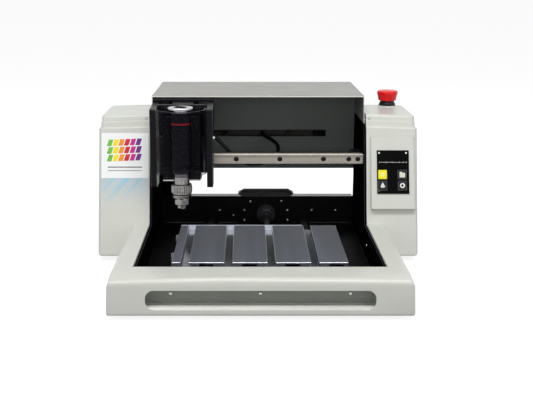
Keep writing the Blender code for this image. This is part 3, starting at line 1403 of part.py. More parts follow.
def make_keypad():
    face = GAP
    membrane = on_pod(
        "keypad_membrane", "black_plastic", MEMBRANE_LEFT, MEMBRANE_RIGHT, MEMBRANE_BOTTOM, MEMBRANE_TOP,
        face, face + MEMBRANE_THICK,
    )
    keys = []
    half = KEY_SIZE / 2
    names = {(0, 1): "key_start", (1, 1): "key_menu", (0, 0): "key_home", (1, 0): "key_pause"}
    rest = face + KEY_TRAVEL
    for (column, row), name in names.items():
        x, z = KEY_COLUMNS[column], KEY_ROWS[row]
        finish = "yellow_plastic" if name == "key_start" else "black_plastic"
        keys.append(on_pod(
            name, finish, x - half, x + half, z - half, z + half, rest, rest + KEY_THICK + GAP
        ))
        room = half + RUNNING
        cut(membrane, on_pod(
            name + "_window", "black_plastic", x - room, x + room, z - room, z + room,
            face - OVERRUN, face + MEMBRANE_THICK + OVERRUN,
        ))
    return membrane, keys


def make_stop():
    foot = TOWER_STEPS[-1] + GAP
    at = (STOP_X, STOP_Y, 0)
    top = foot + STOP_COLLAR_TALL
    bore = STOP_STEM_RADIUS + RUNNING
    collar = turned("estop_collar", "black_plastic", [
        (bore, top), (STOP_COLLAR_RADIUS - EDGE, top), (STOP_COLLAR_RADIUS, top - EDGE),
        (STOP_COLLAR_RADIUS, foot), (bore, foot),
    ], place=at, sides=40)
    stem_top = STOP_HEAD_BOTTOM - GAP
    stem_foot = foot + STOP_STEM_LIFT
    stem = turned("estop_stem", "black_plastic", [
        (0, stem_top), (STOP_STEM_RADIUS, stem_top), (STOP_STEM_RADIUS, stem_foot), (0, stem_foot),
    ], place=at, sides=32)
    crown = arc(
        (STOP_HEAD_RADIUS - STOP_HEAD_ROUND, STOP_HEAD_TOP - STOP_HEAD_ROUND), STOP_HEAD_ROUND, 90, -20, 5
    )
    head = turned("estop_head", "red_plastic", [
        (0, STOP_HEAD_TOP), *crown, (STOP_HEAD_FOOT_RADIUS, STOP_HEAD_BOTTOM + EDGE),
        (STOP_HEAD_FOOT_RADIUS - EDGE, STOP_HEAD_BOTTOM), (0, STOP_HEAD_BOTTOM),
    ], place=at, sides=40)
    return collar, stem, head


def make_inlet():
    """The mains inlet: its face outside the rear cover, its body through it, and the rocker's window."""
    face_front = COVER_BACK + GAP
    face_back = face_front + INLET_FACE
    top = INLET_BOTTOM + INLET_TALL
    inlet = block(
        "power_inlet", "black_plastic", (INLET_X - INLET_HALF, face_front, INLET_BOTTOM),
        (INLET_X + INLET_HALF, face_back, top),
    )
    body = block(
        "inlet_body", "black_plastic",
        (INLET_X - INLET_BODY_HALF, INLET_FRONT, INLET_BOTTOM + INLET_BODY_INSET),
        (INLET_X + INLET_BODY_HALF, face_front + EDGE, top - INLET_BODY_INSET),
    )
    socket = block(
        "inlet_socket", "black_plastic", (INLET_X - SOCKET_HALF, face_back - SOCKET_DEEP, SOCKET_BOTTOM),
        (INLET_X + SOCKET_HALF, face_back + OVERRUN, SOCKET_BOTTOM + SOCKET_TALL),
    )
    window_half = ROCKER_HALF + GAP
    window = block(
        "rocker_window", "black_plastic",
        (INLET_X - window_half, face_back - ROCKER_WINDOW_DEEP, ROCKER_Z - ROCKER_WINDOW_HALF),
        (INLET_X + window_half, face_back + OVERRUN, ROCKER_Z + ROCKER_WINDOW_HALF),
    )
    cut(join(inlet, body), socket, window)
    slope = math.tan(math.radians(ROCKER_TILT_DEG)) * ROCKER_TALL_HALF
    outline = rounded([
        (ROCKER_Y - ROCKER_REACH / 2, ROCKER_Z - ROCKER_TALL_HALF / 2, ROCKER_REACH / 5),
        (ROCKER_Y + ROCKER_REACH - slope, ROCKER_Z - ROCKER_TALL_HALF, 0),
        (ROCKER_Y + ROCKER_REACH + slope, ROCKER_Z + ROCKER_TALL_HALF, 0),
        (ROCKER_Y - ROCKER_REACH / 2, ROCKER_Z + ROCKER_TALL_HALF / 2, ROCKER_REACH / 5),
    ])
    rocker = prism(
        "power_rocker", "black_plastic", outline, "X", INLET_X - ROCKER_HALF, INLET_X + ROCKER_HALF
    )
    return inlet, rocker


def make_electrics():
    floor = PANEL_BOTTOM + SHEET + GAP
    supply = block(
        "power_supply", "plain_aluminium", (SUPPLY_LEFT, SUPPLY_FRONT, floor),
        (SUPPLY_RIGHT, SUPPLY_FRONT + SUPPLY_LONG, floor + SUPPLY_TALL), EDGE,
    )
    level = floor + BOARD_POST
    board = block(
        "controller_board", "green_board", (BOARD_LEFT, BOARD_FRONT, level),
        (BOARD_RIGHT, BOARD_BACK, level + BOARD_THICK),
    )
    more = []
    for x in (BOARD_LEFT + BOARD_POST_INSET, BOARD_RIGHT - BOARD_POST_INSET):
        for y in (BOARD_FRONT + BOARD_POST_INSET, BOARD_BACK - BOARD_POST_INSET):
            more.append(rod(
                f"board_post_{x:.3f}_{y:.3f}", "plain_aluminium", (x, y, floor),
                (x, y, level + BOARD_THICK / 2), BOARD_POST_RADIUS, 8,
            ))
    wide, deep = BOARD_RIGHT - BOARD_LEFT, BOARD_BACK - BOARD_FRONT
    for i, (left, front, right, back) in enumerate(BOARD_CHIP_SHARES):
        more.append(block(
            f"board_chip_{i}", "black_plastic",
            (BOARD_LEFT + left * wide, BOARD_FRONT + front * deep, level + BOARD_THICK / 2),
            (BOARD_LEFT + right * wide, BOARD_FRONT + back * deep, level + BOARD_CHIP_TALL),
        ))
    return supply, join(board, *more)


def smooth_route(points, per_span):
    """Points on the smooth curve through the route's points."""
    route = [Vector(point) for point in points]
    ends = [route[0] * 2 - route[1], *route, route[-1] * 2 - route[-2]]
    made = []
    for i in range(len(route) - 1):
        a, b, c, d = ends[i:i + 4]
        for step in range(per_span):
            t = step / per_span
            made.append(
                0.5 * (2 * b + (c - a) * t + (2 * a - 5 * b + 4 * c - d) * t ** 2 + (3 * b - a - 3 * c + d) * t ** 3)
            )
    return made + [route[-1]]


def cable_route():
    """The cable's route in metres: its first end follows the panel's slot, its last end the carriage."""
    last = len(CABLE_ROUTE_STEPS) - 1
    hook = CABLE_ROUTE_STEPS[-1][0] * OVER
    shift = CARRIAGE_X + CABLE_HOOK - hook
    return [
        (x * OVER + shift * i / last, y * (ALONG + (MILLIMETRE - ALONG) * i / last), z * UP)
        for i, (x, y, z) in enumerate(CABLE_ROUTE_STEPS)
    ]


def make_cable():
    points = smooth_route(cable_route(), CABLE_POINTS_PER_SPAN)
    curve = bpy.data.curves.new("spindle_cable", "CURVE")
    curve.dimensions = "3D"
    curve.bevel_depth = CABLE_RADIUS
    curve.bevel_resolution = CABLE_SIDE_STEPS
    curve.use_fill_caps = True
    spline = curve.splines.new("POLY")
    spline.points.add(len(points) - 1)
    for point, place in zip(spline.points, points):
        point.co = (*place, 1)
    cable = bpy.data.objects.new("spindle_cable", curve)
    curve.materials.append(material("black_rubber"))
    PARTS.objects.link(cable)
    length = sum((b - a).length for a, b in zip(points, points[1:]))
    print(f"spindle cable {length:.3f} m long")


def make_machine():
    for obj in list(bpy.data.objects):
        bpy.data.objects.remove(obj)
    bpy.context.scene.collection.children.link(PARTS)
    bpy.context.scene.collection.children.link(CUTTERS)

    make_base_plate()
    make_side_frame("side_frame_left", -1, True)
    make_side_frame("side_frame_right", 1, False)
    for row, y in (("front", FOOT_FRONT_Y), ("rear", FOOT_BACK_Y)):
        for side, x in (("left", -FOOT_X), ("right", FOOT_X)):
            make_foot(f"foot_{row}_{side}", x, y)
    make_tray_cover()
    make_tower_cover("tower_cover_left", -1)
    make_tower_cover("tower_cover_right", 1)
    make_hood()
    make_back_panel()
    make_rear_cover()
    make_rear_wall()
    make_y_motor_cover()

    make_gantry()
    make_gantry_end("gantry_end_left", -1)
    make_gantry_end("gantry_end_right", 1)
    outside = INSIDE / 2 + FRAME_THICK + GAP
    make_motor("x_motor", "X", (-outside, X_SCREW_Y, X_SCREW_Z), -1, X_MOTOR_SIZE, X_MOTOR_LONG)
    make_motor(
        "y_motor", "Y", (Y_SCREW_X, BAY_BACK + BAY_SHEET + GAP, Y_SCREW_Z), 1, MOTOR_SIZE, MOTOR_LONG
    )
    make_y_rail("y_rail_left", -1)
    make_y_rail("y_rail_right", 1)
    make_hub()
    make_pod()
    make_electrics()
    make_cable()
    x_screw, y_screw, z_screw = make_screws()
    carry(axis_empty("x_screw_axis", (0, X_SCREW_Y, X_SCREW_Z)), [x_screw])
    carry(axis_empty("y_screw_axis", (Y_SCREW_X, 0, Y_SCREW_Z)), [y_screw])

    table = axis_empty("table_slide_axis", (0, TABLE_FRONT, TABLE_TOP))
    carry(table, [make_table(), make_saddle()])

    carriage = axis_empty("x_slide_axis", (CARRIAGE_X, RAIL_FACE, X_RAIL_Z))
    motor_long = CHEEK_TOP - Z_MOTOR_BOTTOM
    carry(carriage, [
        make_carriage_cheek("carriage_side_left", -1), make_carriage_cheek("carriage_side_right", 1),
        make_carriage_back(), make_top_plate(), make_x_block("x_block_left", -1),
        make_x_block("x_block_right", 1), make_x_nut(), make_shield(),
        make_motor("z_motor", "Z", (CARRIAGE_X, Z_SCREW_Y, Z_MOTOR_BOTTOM), 1, Z_MOTOR_SIZE, motor_long),
    ])
    head = axis_empty("z_slide_axis", (CARRIAGE_X, Z_PLATE_FRONT, Z_PLATE_BOTTOM))
    body, barrel, cutter, knob = make_spindle()
    carry(head, [make_z_slide(), make_lower_clamp(), body, barrel])
    spindle = axis_empty("spindle_spin_axis", (CARRIAGE_X, SPINDLE_Y, BODY_BOTTOM))
    carry(spindle, [cutter, knob])
    ring = axis_empty("depth_ring_axis", (CARRIAGE_X, SPINDLE_Y, RING_BOTTOM))
    carry(ring, [make_depth_ring()])
    nose = axis_empty("depth_nose_axis", (CARRIAGE_X, SPINDLE_Y, NOSE_FLANGE_BOTTOM))
    carry(nose, [make_depth_nose()])
    lift = axis_empty("z_screw_axis", (CARRIAGE_X, Z_SCREW_Y, Z_SCREW_BOTTOM))
    carry(lift, [z_screw])
    carry(carriage, [head, lift])
    carry(head, [spindle, ring, nose])

    _, keys = make_keypad()
    for key in keys:
        carry(axis_empty(key.name + "_axis", key.location), [key])
    _, stem, head_button = make_stop()
    push = axis_empty("estop_push_axis", (STOP_X, STOP_Y, STOP_HEAD_BOTTOM))
    twist = axis_empty("estop_twist_axis", (STOP_X, STOP_Y, STOP_HEAD_TOP))
    carry(push, [stem, twist])
    carry(twist, [head_button])
    _, rocker = make_inlet()
    carry(axis_empty("rocker_axis", (INLET_X, ROCKER_Y, ROCKER_Z)), [rocker])


make_machine()
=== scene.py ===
# %% [markdown]
# # A bench-top engraving machine
# The frame of this lesson is a imported CAD model: a T-slot table runs front to back under a gantry,
# and a spindle hangs from the gantry's carriage. Every piece below is placed by that model, in
# metres, and all but the cable ride on one of its bodies. The pieces add the finishes that the real
# machine has, and in a few places painted highlights and shades.

# %% Load the frame
from math import atan2, cos, pi, radians, sin

import bmesh
import bpy
from mathutils import Matrix, Vector
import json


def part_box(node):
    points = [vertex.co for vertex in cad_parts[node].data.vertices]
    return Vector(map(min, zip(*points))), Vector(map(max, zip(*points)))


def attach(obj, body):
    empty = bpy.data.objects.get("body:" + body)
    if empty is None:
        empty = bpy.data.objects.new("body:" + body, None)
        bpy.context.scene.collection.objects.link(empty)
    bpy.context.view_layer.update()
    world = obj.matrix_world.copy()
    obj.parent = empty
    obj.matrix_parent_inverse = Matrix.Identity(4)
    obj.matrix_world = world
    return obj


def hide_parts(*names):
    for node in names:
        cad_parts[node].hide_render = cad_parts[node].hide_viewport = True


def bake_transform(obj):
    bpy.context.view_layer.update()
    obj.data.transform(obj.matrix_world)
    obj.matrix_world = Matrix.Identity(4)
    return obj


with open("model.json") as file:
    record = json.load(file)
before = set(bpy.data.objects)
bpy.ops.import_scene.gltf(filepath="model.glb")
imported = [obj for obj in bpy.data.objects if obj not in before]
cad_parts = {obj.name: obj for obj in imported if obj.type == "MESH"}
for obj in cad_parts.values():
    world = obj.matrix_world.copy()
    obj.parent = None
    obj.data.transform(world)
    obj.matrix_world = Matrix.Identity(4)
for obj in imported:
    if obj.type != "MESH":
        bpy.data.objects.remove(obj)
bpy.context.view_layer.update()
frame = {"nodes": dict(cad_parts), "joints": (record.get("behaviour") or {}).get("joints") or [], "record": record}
record = frame["record"]
body_of = {node: body for body, nodes in record["behaviour"]["bodies"].items() for node in nodes}

# %% [markdown]
# ## The camera
# A camera can be placed by eye, but edges whose real lengths are known give it exactly: the hood,
# the rail and the towers fix the distance, the height and the tilt. The photograph was cropped off
# centre, so the lens is shifted a little sideways rather than turned.

# %% Camera
put_in_scene = bpy.context.scene.collection.objects.link
camera = bpy.data.objects.new("photo_camera", bpy.data.cameras.new("photo_camera"))
camera.data.lens = 60.79
camera.data.sensor_width = 36
camera.data.shift_x = 0.0377
camera.location = (-0.0236, -1.739, 0.558)
camera.rotation_euler = (radians(75.8), 0, 0)
put_in_scene(camera)
bpy.context.scene.camera = camera
bpy.context.scene.view_settings.view_transform = "Standard"
print("camera at", [round(v, 3) for v in camera.location])

# %% [markdown]
# ## A white studio
# Product photographs use large soft lamps and a white sweep. The world gives an even base light. Two
# broad area lamps stand far out to the sides, so that round metal gets a bright streak near each
# edge. A wide lamp high in front draws a light line along every rounded edge, and a weak one behind
# the camera lifts the faces that look forward. Rays from the camera, from gloss and through clear
# plastic see the world as plain white; only the others take its base light.


# %% World and lamps
def seen_directly(tree):
    """A factor that is 1 for rays from the camera, from gloss and through clear plastic."""
    path = tree.nodes.new("ShaderNodeLightPath")
    last = path.outputs["Is Camera Ray"]
    for kind in ("Is Glossy Ray", "Is Transmission Ray"):
        either = tree.nodes.new("ShaderNodeMath")
        either.operation = "MAXIMUM"
        tree.links.new(last, either.inputs[0])
        tree.links.new(path.outputs[kind], either.inputs[1])
        last = either.outputs[0]
    return last


def white_page(tree, lighting, page, out):
    """Shows the page to direct rays and the lighting to all others."""
    choose = tree.nodes.new("ShaderNodeMixShader")
    tree.links.new(seen_directly(tree), choose.inputs["Fac"])
    tree.links.new(lighting.outputs[0], choose.inputs[1])
    tree.links.new(page.outputs[0], choose.inputs[2])
    tree.links.new(choose.outputs[0], out.inputs["Surface"])


def set_inputs(node, **values):
    """Sets inputs of a shader node by name, with _ for a space."""
    for name, value in values.items():
        node.inputs[name.replace("_", " ")].default_value = value


def even_white(tree, strength):
    """A plain white background of one strength."""
    background = tree.nodes.new("ShaderNodeBackground")
    set_inputs(background, Color=(1.0, 1.0, 1.0, 1), Strength=strength)
    return background


world = bpy.data.worlds.new("studio")
bpy.context.scene.world = world
world.use_nodes = True
sky = world.node_tree
sky.nodes.clear()
base_light = even_white(sky, 0.27)
white = even_white(sky, 1.0)
white_page(sky, base_light, white, sky.nodes.new("ShaderNodeOutputWorld"))
machine_middle = Vector((0, 0, 0.15))


def softbox(name, place, size, power):
    """A rectangular lamp of so many watts that looks at the middle of the machine."""
    lamp = bpy.data.objects.new(name, bpy.data.lights.new(name, "AREA"))
    lamp.data.shape = "RECTANGLE"
    lamp.data.size, lamp.data.size_y = size
    lamp.data.energy = power
    lamp.location = place
    lamp.rotation_euler = (machine_middle - Vector(place)).to_track_quat("-Z", "Y").to_euler()
    put_in_scene(lamp)


softbox("left_softbox", (-1.8, -1.5, 0.8), (1.1, 1.2), 8)
softbox("right_softbox", (1.8, -1.5, 0.8), (1.1, 1.2), 7.5)
softbox("top_front_softbox", (0, -1.05, 2.45), (2.2, 0.7), 52)
softbox("front_fill", (0, -2.4, 0.75), (1.2, 0.6), 3.5)
print("studio lamps placed")

# %% [markdown]
# ## The floor
# The floor is pale and reaches past the horizon, so no backdrop is needed. To direct rays it shows a
# page that glows nearly white and is a little diffuse, which keeps the machine's shadow. The other
# rays meet plain grey paper, so the floor throws only a little light up at the machine.

# %% Floor
bm = bmesh.new()
bmesh.ops.create_grid(bm, x_segments=1, y_segments=1, size=40)
floor_mesh = bpy.data.meshes.new("floor")
bm.to_mesh(floor_mesh)
bm.free()
floor = bpy.data.objects.new("floor", floor_mesh)
put_in_scene(floor)
paper = bpy.data.materials.new("pale_floor")
paper.use_nodes = True
tree = paper.node_tree
tree.nodes.clear()


def matt_grey(share):
    """A diffuse shader for the floor that gives back a share of the light."""
    shader = tree.nodes.new("ShaderNodeBsdfDiffuse")
    set_inputs(shader, Color=(share, share, share, 1))
    return shader


plain = matt_grey(0.42)
shadowed = matt_grey(0.36)
glow = tree.nodes.new("ShaderNodeEmission")
set_inputs(glow, Strength=0.86)
page = tree.nodes.new("ShaderNodeAddShader")
tree.links.new(glow.outputs[0], page.inputs[0])
tree.links.new(shadowed.outputs[0], page.inputs[1])
white_page(tree, plain, page, tree.nodes.new("ShaderNodeOutputMaterial"))
floor_mesh.materials.append(paper)
print("floor laid")

# %% [markdown]
# ## Finishes
# Paint, anodising and machined metal differ in how rough they are and in how even. One helper builds
# them all: a broad noise shifts the colour and the gloss a little, and a fine noise raises a grain.
# Stretching the noise along one axis turns the grain into the lines that a mill or a grinder leaves.
# Last come a few hairline scuffs, where the broad noise crosses its middle value.

# %% Finish helper
noise_low, noise_middle, noise_high = 0.3, 0.5, 0.7
hair_width = 0.004


def tone(screen_colour):
    """A screen colour, each part 0 to 255, as the linear colour that a shader takes."""
    parts = [(c, c / 255) for c in screen_colour]
    return tuple((part / 12.92) if c <= 10 else ((part + 0.055) / 1.055) ** 2.4 for c, part in parts)


def remap(nodes, links, source, low, high, to_low, to_high):
    """A value moved from one range into another."""
    node = nodes.new("ShaderNodeMapRange")
    set_inputs(node, From_Min=low, From_Max=high, To_Min=to_low, To_Max=to_high)
    links.new(source, node.inputs["Value"])
    return node.outputs["Result"]


def finish(
    name, screen_colour, roughness, metallic=0.0, mottle=0.03, mottle_size=0.05, grain=0.0,
    grain_size=0.0006, stretch=(1, 1, 1), swing=0.05, coat=0.0, specular=0.5, scuffs=0.0,
):
    """A material whose colour drifts by mottle and its roughness by swing; sizes are in metres."""
    colour = tone(screen_colour)
    material = bpy.data.materials.new(name)
    material.use_nodes = True
    nodes, links = material.node_tree.nodes, material.node_tree.links
    shader = nodes["Principled BSDF"]
    set_inputs(shader, Metallic=metallic, Specular_IOR_Level=specular, Coat_Weight=coat, Coat_Roughness=0.08)
    place = nodes.new("ShaderNodeTexCoord")
    lie = nodes.new("ShaderNodeMapping")
    set_inputs(lie, Scale=stretch)
    links.new(place.outputs["Object"], lie.inputs["Vector"])

    def noise(size, detail, distortion=0.0):
        node = nodes.new("ShaderNodeTexNoise")
        set_inputs(node, Scale=1 / size, Detail=detail, Distortion=distortion)
        links.new(lie.outputs["Vector"], node.inputs["Vector"])
        return node.outputs["Fac"]

    broad = noise(mottle_size, 5)
    ramp = nodes.new("ShaderNodeValToRGB")
    dark, pale = ramp.color_ramp.elements
    dark.position = noise_low
    pale.position = noise_high
    dark.color = (*(c * (1 - mottle) for c in colour), 1)
    pale.color = (*(min(1, c * (1 + mottle)) for c in colour), 1)
    links.new(broad, ramp.inputs["Fac"])
    links.new(ramp.outputs["Color"], shader.inputs["Base Color"])
    smooth, rough = max(0.02, roughness - swing), min(1, roughness + swing)
    gloss = remap(nodes, links, broad, noise_low, noise_high, smooth, rough)
    if scuffs:
        hair = nodes.new("ShaderNodeMath")
        hair.operation = "COMPARE"
        hair.inputs[1].default_value = noise_middle
        hair.inputs[2].default_value = hair_width
        links.new(noise(mottle_size * 0.6, 2, 2.5), hair.inputs[0])
        worn = nodes.new("ShaderNodeMath")
        worn.operation = "MULTIPLY_ADD"
        worn.inputs[1].default_value = scuffs
        links.new(hair.outputs[0], worn.inputs[0])
        links.new(gloss, worn.inputs[2])
        gloss = worn.outputs[0]
    links.new(gloss, shader.inputs["Roughness"])
    if grain:
        bump = nodes.new("ShaderNodeBump")
        set_inputs(bump, Strength=0.5, Distance=grain)
        links.new(noise(grain_size, 3), bump.inputs["Height"])
        links.new(bump.outputs["Normal"], shader.inputs["Normal"])
    return material


# %% Paints and plastics
moulding = finish(
    "grey_moulding", (204, 206, 198), 0.33, mottle=0.015, grain=0.00003, grain_size=0.0011,
    specular=0.45, scuffs=0.12,
)
frame_coat = finish(
    "matt_frame_coat", (10, 10, 11), 0.60, mottle=0.15, grain=0.00006, grain_size=0.0008, specular=0.0
)
hood_edge_painted_highlight = finish("hood_front_painted_highlight", (206, 205, 197), 0.34, specular=0.45)
recess_painted_shade = finish(
    "tray_recess_painted_shade", (138, 142, 134), 0.40, mottle=0.06, mottle_size=0.03, grain=0.00003,
    grain_size=0.0011, specular=0.35, scuffs=0.2,
)
sheet_paint = finish(
    "grey_sheet_paint", (138, 137, 132), 0.36, mottle=0.02, grain=0.00005, grain_size=0.0010,
    specular=0.4, scuffs=0.10,
)
black_coat = finish(
    "black_powder_coat", (10, 10, 11), 0.42, mottle=0.15, grain=0.00006, grain_size=0.0008,
    specular=0.08, scuffs=0.15,
)
coat_edge = finish("worn_coat_edge", (46, 46, 48), 0.34, 0.1, mottle=0.2, mottle_size=0.01, specular=0.3)
panel_grey = finish(
    "dark_panel_paint", (108, 113, 109), 0.55, mottle=0.06, mottle_size=0.12, grain=0.00004,
    specular=0.3, scuffs=0.1,
)
black_plastic = finish(
    "black_plastic", (20, 20, 21), 0.36, mottle=0.08, grain=0.00003, grain_size=0.0005, specular=0.25
)
plastic_edge = finish("moulded_key_edge", (66, 66, 68), 0.40, mottle=0.05, mottle_size=0.01, specular=0.3)
membrane_film = finish(
    "membrane_film", (6, 6, 7), 0.30, mottle=0.05, grain=0.00002, grain_size=0.0004, specular=0.04
)
red_plastic = finish(
    "red_plastic", (226, 12, 18), 0.24, mottle=0.05, mottle_size=0.02, coat=0.12, specular=0.25
)
yellow_print = finish("yellow_key_print", (243, 226, 26), 0.42, mottle_size=0.01, specular=0.25)
pale_yellow = finish("pale_key_print", (240, 234, 140), 0.42, mottle_size=0.01, specular=0.25)
white_print = finish("white_key_print", (232, 232, 228), 0.45, mottle=0.02, mottle_size=0.01)
stone_print = finish("stone_key_print", (212, 212, 196), 0.45, mottle=0.04, mottle_size=0.01)
rubber = finish(
    "black_rubber", (24, 24, 24), 0.75, mottle=0.15, grain=0.00008, grain_size=0.0009, specular=0.25
)
cable_skin = finish("cable_skin", (15, 15, 16), 0.40, mottle=0.10, mottle_size=0.01, specular=0.2)
board_green = finish("board_green", (28, 84, 48), 0.40, mottle=0.10, mottle_size=0.01)
print("paints and plastics mixed")

# %% Metals
anodised = finish(
    "black_anodised", (14, 15, 19), 0.34, mottle=0.12, mottle_size=0.03, grain=0.00002,
    grain_size=0.0004, specular=0.10, scuffs=0.12,
)
anodised_wear_and_hub_sheen = finish("anodised_edge_wear_and_hub_sheen", (48, 49, 55), 0.32, 0.3, mottle=0.2, mottle_size=0.01)
spindle_black = finish(
    "spindle_black", (8, 9, 14), 0.12, mottle=0.10, mottle_size=0.02, coat=0.1, specular=0.22
)
ground = finish(
    "ground_steel", (158, 151, 142), 0.36, 0.75, mottle=0.09, grain=0.00003, stretch=(0.04, 1, 1), scuffs=0.1
)
ground_edge = finish("ground_steel_edge", (186, 182, 175), 0.28, 0.9, mottle=0.05, stretch=(0.04, 1, 1))
bright = finish(
    "bright_steel", (186, 186, 190), 0.17, 1.0, mottle=0.12, mottle_size=0.006, grain=0.00001,
    grain_size=0.0003, stretch=(1, 1, 6), scuffs=0.15,
)
nose_steel = finish(
    "brushed_nose_steel", (134, 132, 130), 0.20, 1.0, mottle=0.30, mottle_size=0.004, grain=0.00002,
    grain_size=0.0003, stretch=(1, 1, 4), scuffs=0.2,
)
dark_steel = finish("oiled_screw_steel", (74, 74, 76), 0.30, 0.9, mottle=0.15, mottle_size=0.01)
rail_black = finish("blackened_rail", (12, 12, 13), 0.50, mottle=0.10, mottle_size=0.02, specular=0.08)
hump_grey = finish(
    "dark_grey_coat", (104, 107, 110), 0.40, mottle=0.08, mottle_size=0.02, grain=0.00004, specular=0.3
)
hump_front_painted_light = finish("cover_front_painted_light", (196, 200, 198), 0.45, mottle=0.12, mottle_size=0.02, specular=0.3)
strip_alloy = finish("plain_strip_alloy", (196, 199, 206), 0.36, 0.4, mottle=0.10, mottle_size=0.01)
ledge_painted_highlight = finish("ledge_top_painted_highlight", (66, 68, 70), 0.24, mottle=0.25, mottle_size=0.03, specular=0.6)
milled = finish(
    "table_aluminium", (110, 114, 123), 0.42, 0.75, mottle=0.07, mottle_size=0.02, grain=0.00004,
    grain_size=0.0008, stretch=(1, 0.03, 1), specular=0.3, scuffs=0.1,
)
milled_edge = finish("deburred_table_edge", (224, 227, 234), 0.24, 0.9, mottle=0.05, stretch=(1, 0.1, 1))
slot_floor = finish(
    "slot_floor", (200, 204, 212), 0.17, 1.0, mottle=0.08, mottle_size=0.02, stretch=(1, 0.05, 1), swing=0.03
)
plain_alloy = finish(
    "plain_alloy", (190, 191, 193), 0.30, 1.0, mottle=0.06, grain=0.00003, stretch=(1, 1, 0.1)
)
black_oxide = finish("black_oxide", (24, 24, 25), 0.34, 0.3, mottle=0.15, mottle_size=0.004, specular=0.25)
zinc = finish("zinc_screw", (186, 186, 184), 0.28, 1.0, mottle=0.08, mottle_size=0.004)
brass = finish("brass_pin", (200, 168, 96), 0.25, 1.0, mottle=0.06, mottle_size=0.004)
print("metals mixed")

# %% [markdown]
# ## Smoked acrylic
# The spindle's guard is a bent sheet of smoked acrylic. A clear shader with a grey tint does it: each
# wall takes about half of the light, and its polished faces still mirror the lamps.

# %% Acrylic
acrylic = finish("smoked_acrylic", (176, 174, 186), 0.05, mottle_size=0.08, swing=0.02)
set_inputs(acrylic.node_tree.nodes["Principled BSDF"], Transmission_Weight=1.0, IOR=1.08)
print("acrylic mixed")

# %% [markdown]
# ## Making pieces
# A few helpers make nearly every piece. One takes a finished bmesh and puts it on its body. One copies
# a CAD node, merges its loose triangles into faces and rounds its edges, because no real sheet or
# casting has a perfectly sharp one; repaint then gives some of its faces a finish of their own. One
# lofts round shapes through rings of points, so a knurl or a hexagon is only a ring whose radius
# changes as it turns. The last makes small parts from blocks.


# %% Piece helpers
def piece(name, bm, material, body, smooth=35):
    """Makes a bmesh a piece on a body; edges sharper than smooth degrees stay sharp."""
    bmesh.ops.recalc_face_normals(bm, faces=bm.faces)
    mesh = bpy.data.meshes.new(name)
    bm.to_mesh(mesh)
    bm.free()
    mesh.materials.append(material)
    mesh.shade_smooth()
    mesh.set_sharp_from_angle(angle=radians(smooth))
    obj = bpy.data.objects.new(name, mesh)
    put_in_scene(obj)
    even = obj.modifiers.new("Even shading", "WEIGHTED_NORMAL")
    even.keep_sharp = True
    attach(obj, body)
    return obj


def edges_at(verts):
    """The edges at some corners, each one once and in the same order on every run."""
    return list(dict.fromkeys(e for v in verts for e in v.link_edges))


def sharp_edges(bm, degrees):
    """The edges where two faces meet at more than so many degrees."""
    return [e for e in bm.edges if e.is_manifold and e.calc_face_angle() > radians(degrees)]


def round_edges(bm, edges, width, segments=2):
    """Rounds edges with a bevel and gives what the bevel made."""
    return bmesh.ops.bevel(
        bm, geom=edges, offset=width, segments=segments, profile=0.5, affect="EDGES", material=-1,
        clamp_overlap=False,
    )


def softened(
    node, material, width=0.0006, segments=2, sharp=32, rim=None, low_face=None, below=0.0, shape=None
):
    """A copy of a CAD node with its triangles merged and its sharp edges rounded, shown in its place.

    The rounded edges may have a rim material, and the level faces under a height a material of their own.
    A shape function may first ease single corners of the copy."""
    bm = bmesh.new()
    bm.from_mesh(frame["nodes"][node].data)
    bmesh.ops.remove_doubles(bm, verts=bm.verts, dist=0.00002)
    if shape:
        for v in bm.verts:
            v.co = shape(v.co)
    bmesh.ops.dissolve_limit(bm, angle_limit=radians(1), verts=bm.verts, edges=bm.edges)
    edges = sharp_edges(bm, sharp)
    if low_face:
        bm.normal_update()
        for face in bm.faces:
            if face.normal.z > 0.99 and face.calc_center_median().z < below:
                face.material_index = 2
    rounded = round_edges(bm, edges, width, segments)["faces"]
    if rim:
        for face in rounded:
            face.material_index = 1
    made = piece(node + "_finished", bm, material, body_of[node])
    if rim:
        made.data.materials.append(rim)
    if low_face:
        made.data.materials.append(low_face)
    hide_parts(node)
    return made


def repaint(obj, material, wanted):
    """Gives a material to the faces of a piece that a test of centre and normal picks."""
    obj.data.materials.append(material)
    for face in obj.data.polygons:
        if wanted(face.center, face.normal):
            face.material_index = len(obj.data.materials) - 1


def ring_of(bm, radius, height, steps):
    """A loop of edges round Z: its radius may be a function of the turn."""
    verts = bmesh.ops.create_circle(bm, cap_ends=False, segments=steps, radius=1)["verts"]
    for v in verts:
        wide = radius(atan2(v.co.y, v.co.x)) if callable(radius) else radius
        v.co = (v.co.x * wide, v.co.y * wide, height)
    return verts, edges_at(verts)


def loft(bm, rings, place=Matrix(), steps=64, bore=False):
    """Adds a shape through rings of points, each one (radius, height)."""
    made = [ring_of(bm, radius, height, steps) for radius, height in rings]
    loops = [loop for verts, loop in made]
    pairs = list(zip(loops, loops[1:]))
    if bore:
        pairs.append((loops[-1], loops[0]))
    for lower, upper in pairs:
        bmesh.ops.bridge_loops(bm, edges=lower + upper)
    if not bore:
        bmesh.ops.edgeloop_fill(bm, edges=loops[0])
        bmesh.ops.edgeloop_fill(bm, edges=loops[-1])
    bmesh.ops.transform(bm, matrix=place, verts=[v for verts, loop in made for v in verts])


def lofted(name, rings, material, body, place=Matrix(), steps=64, bore=False, smooth=35):
    """A piece that is one loft."""
    bm = bmesh.new()
    loft(bm, rings, place, steps, bore)
    return piece(name, bm, material, body, smooth)


def hexagon(across_corners):
    """The radius of a hexagon at a turn."""
    flat = across_corners * cos(radians(30))
    return lambda turn: flat / cos((turn + radians(30)) % radians(60) - radians(30))


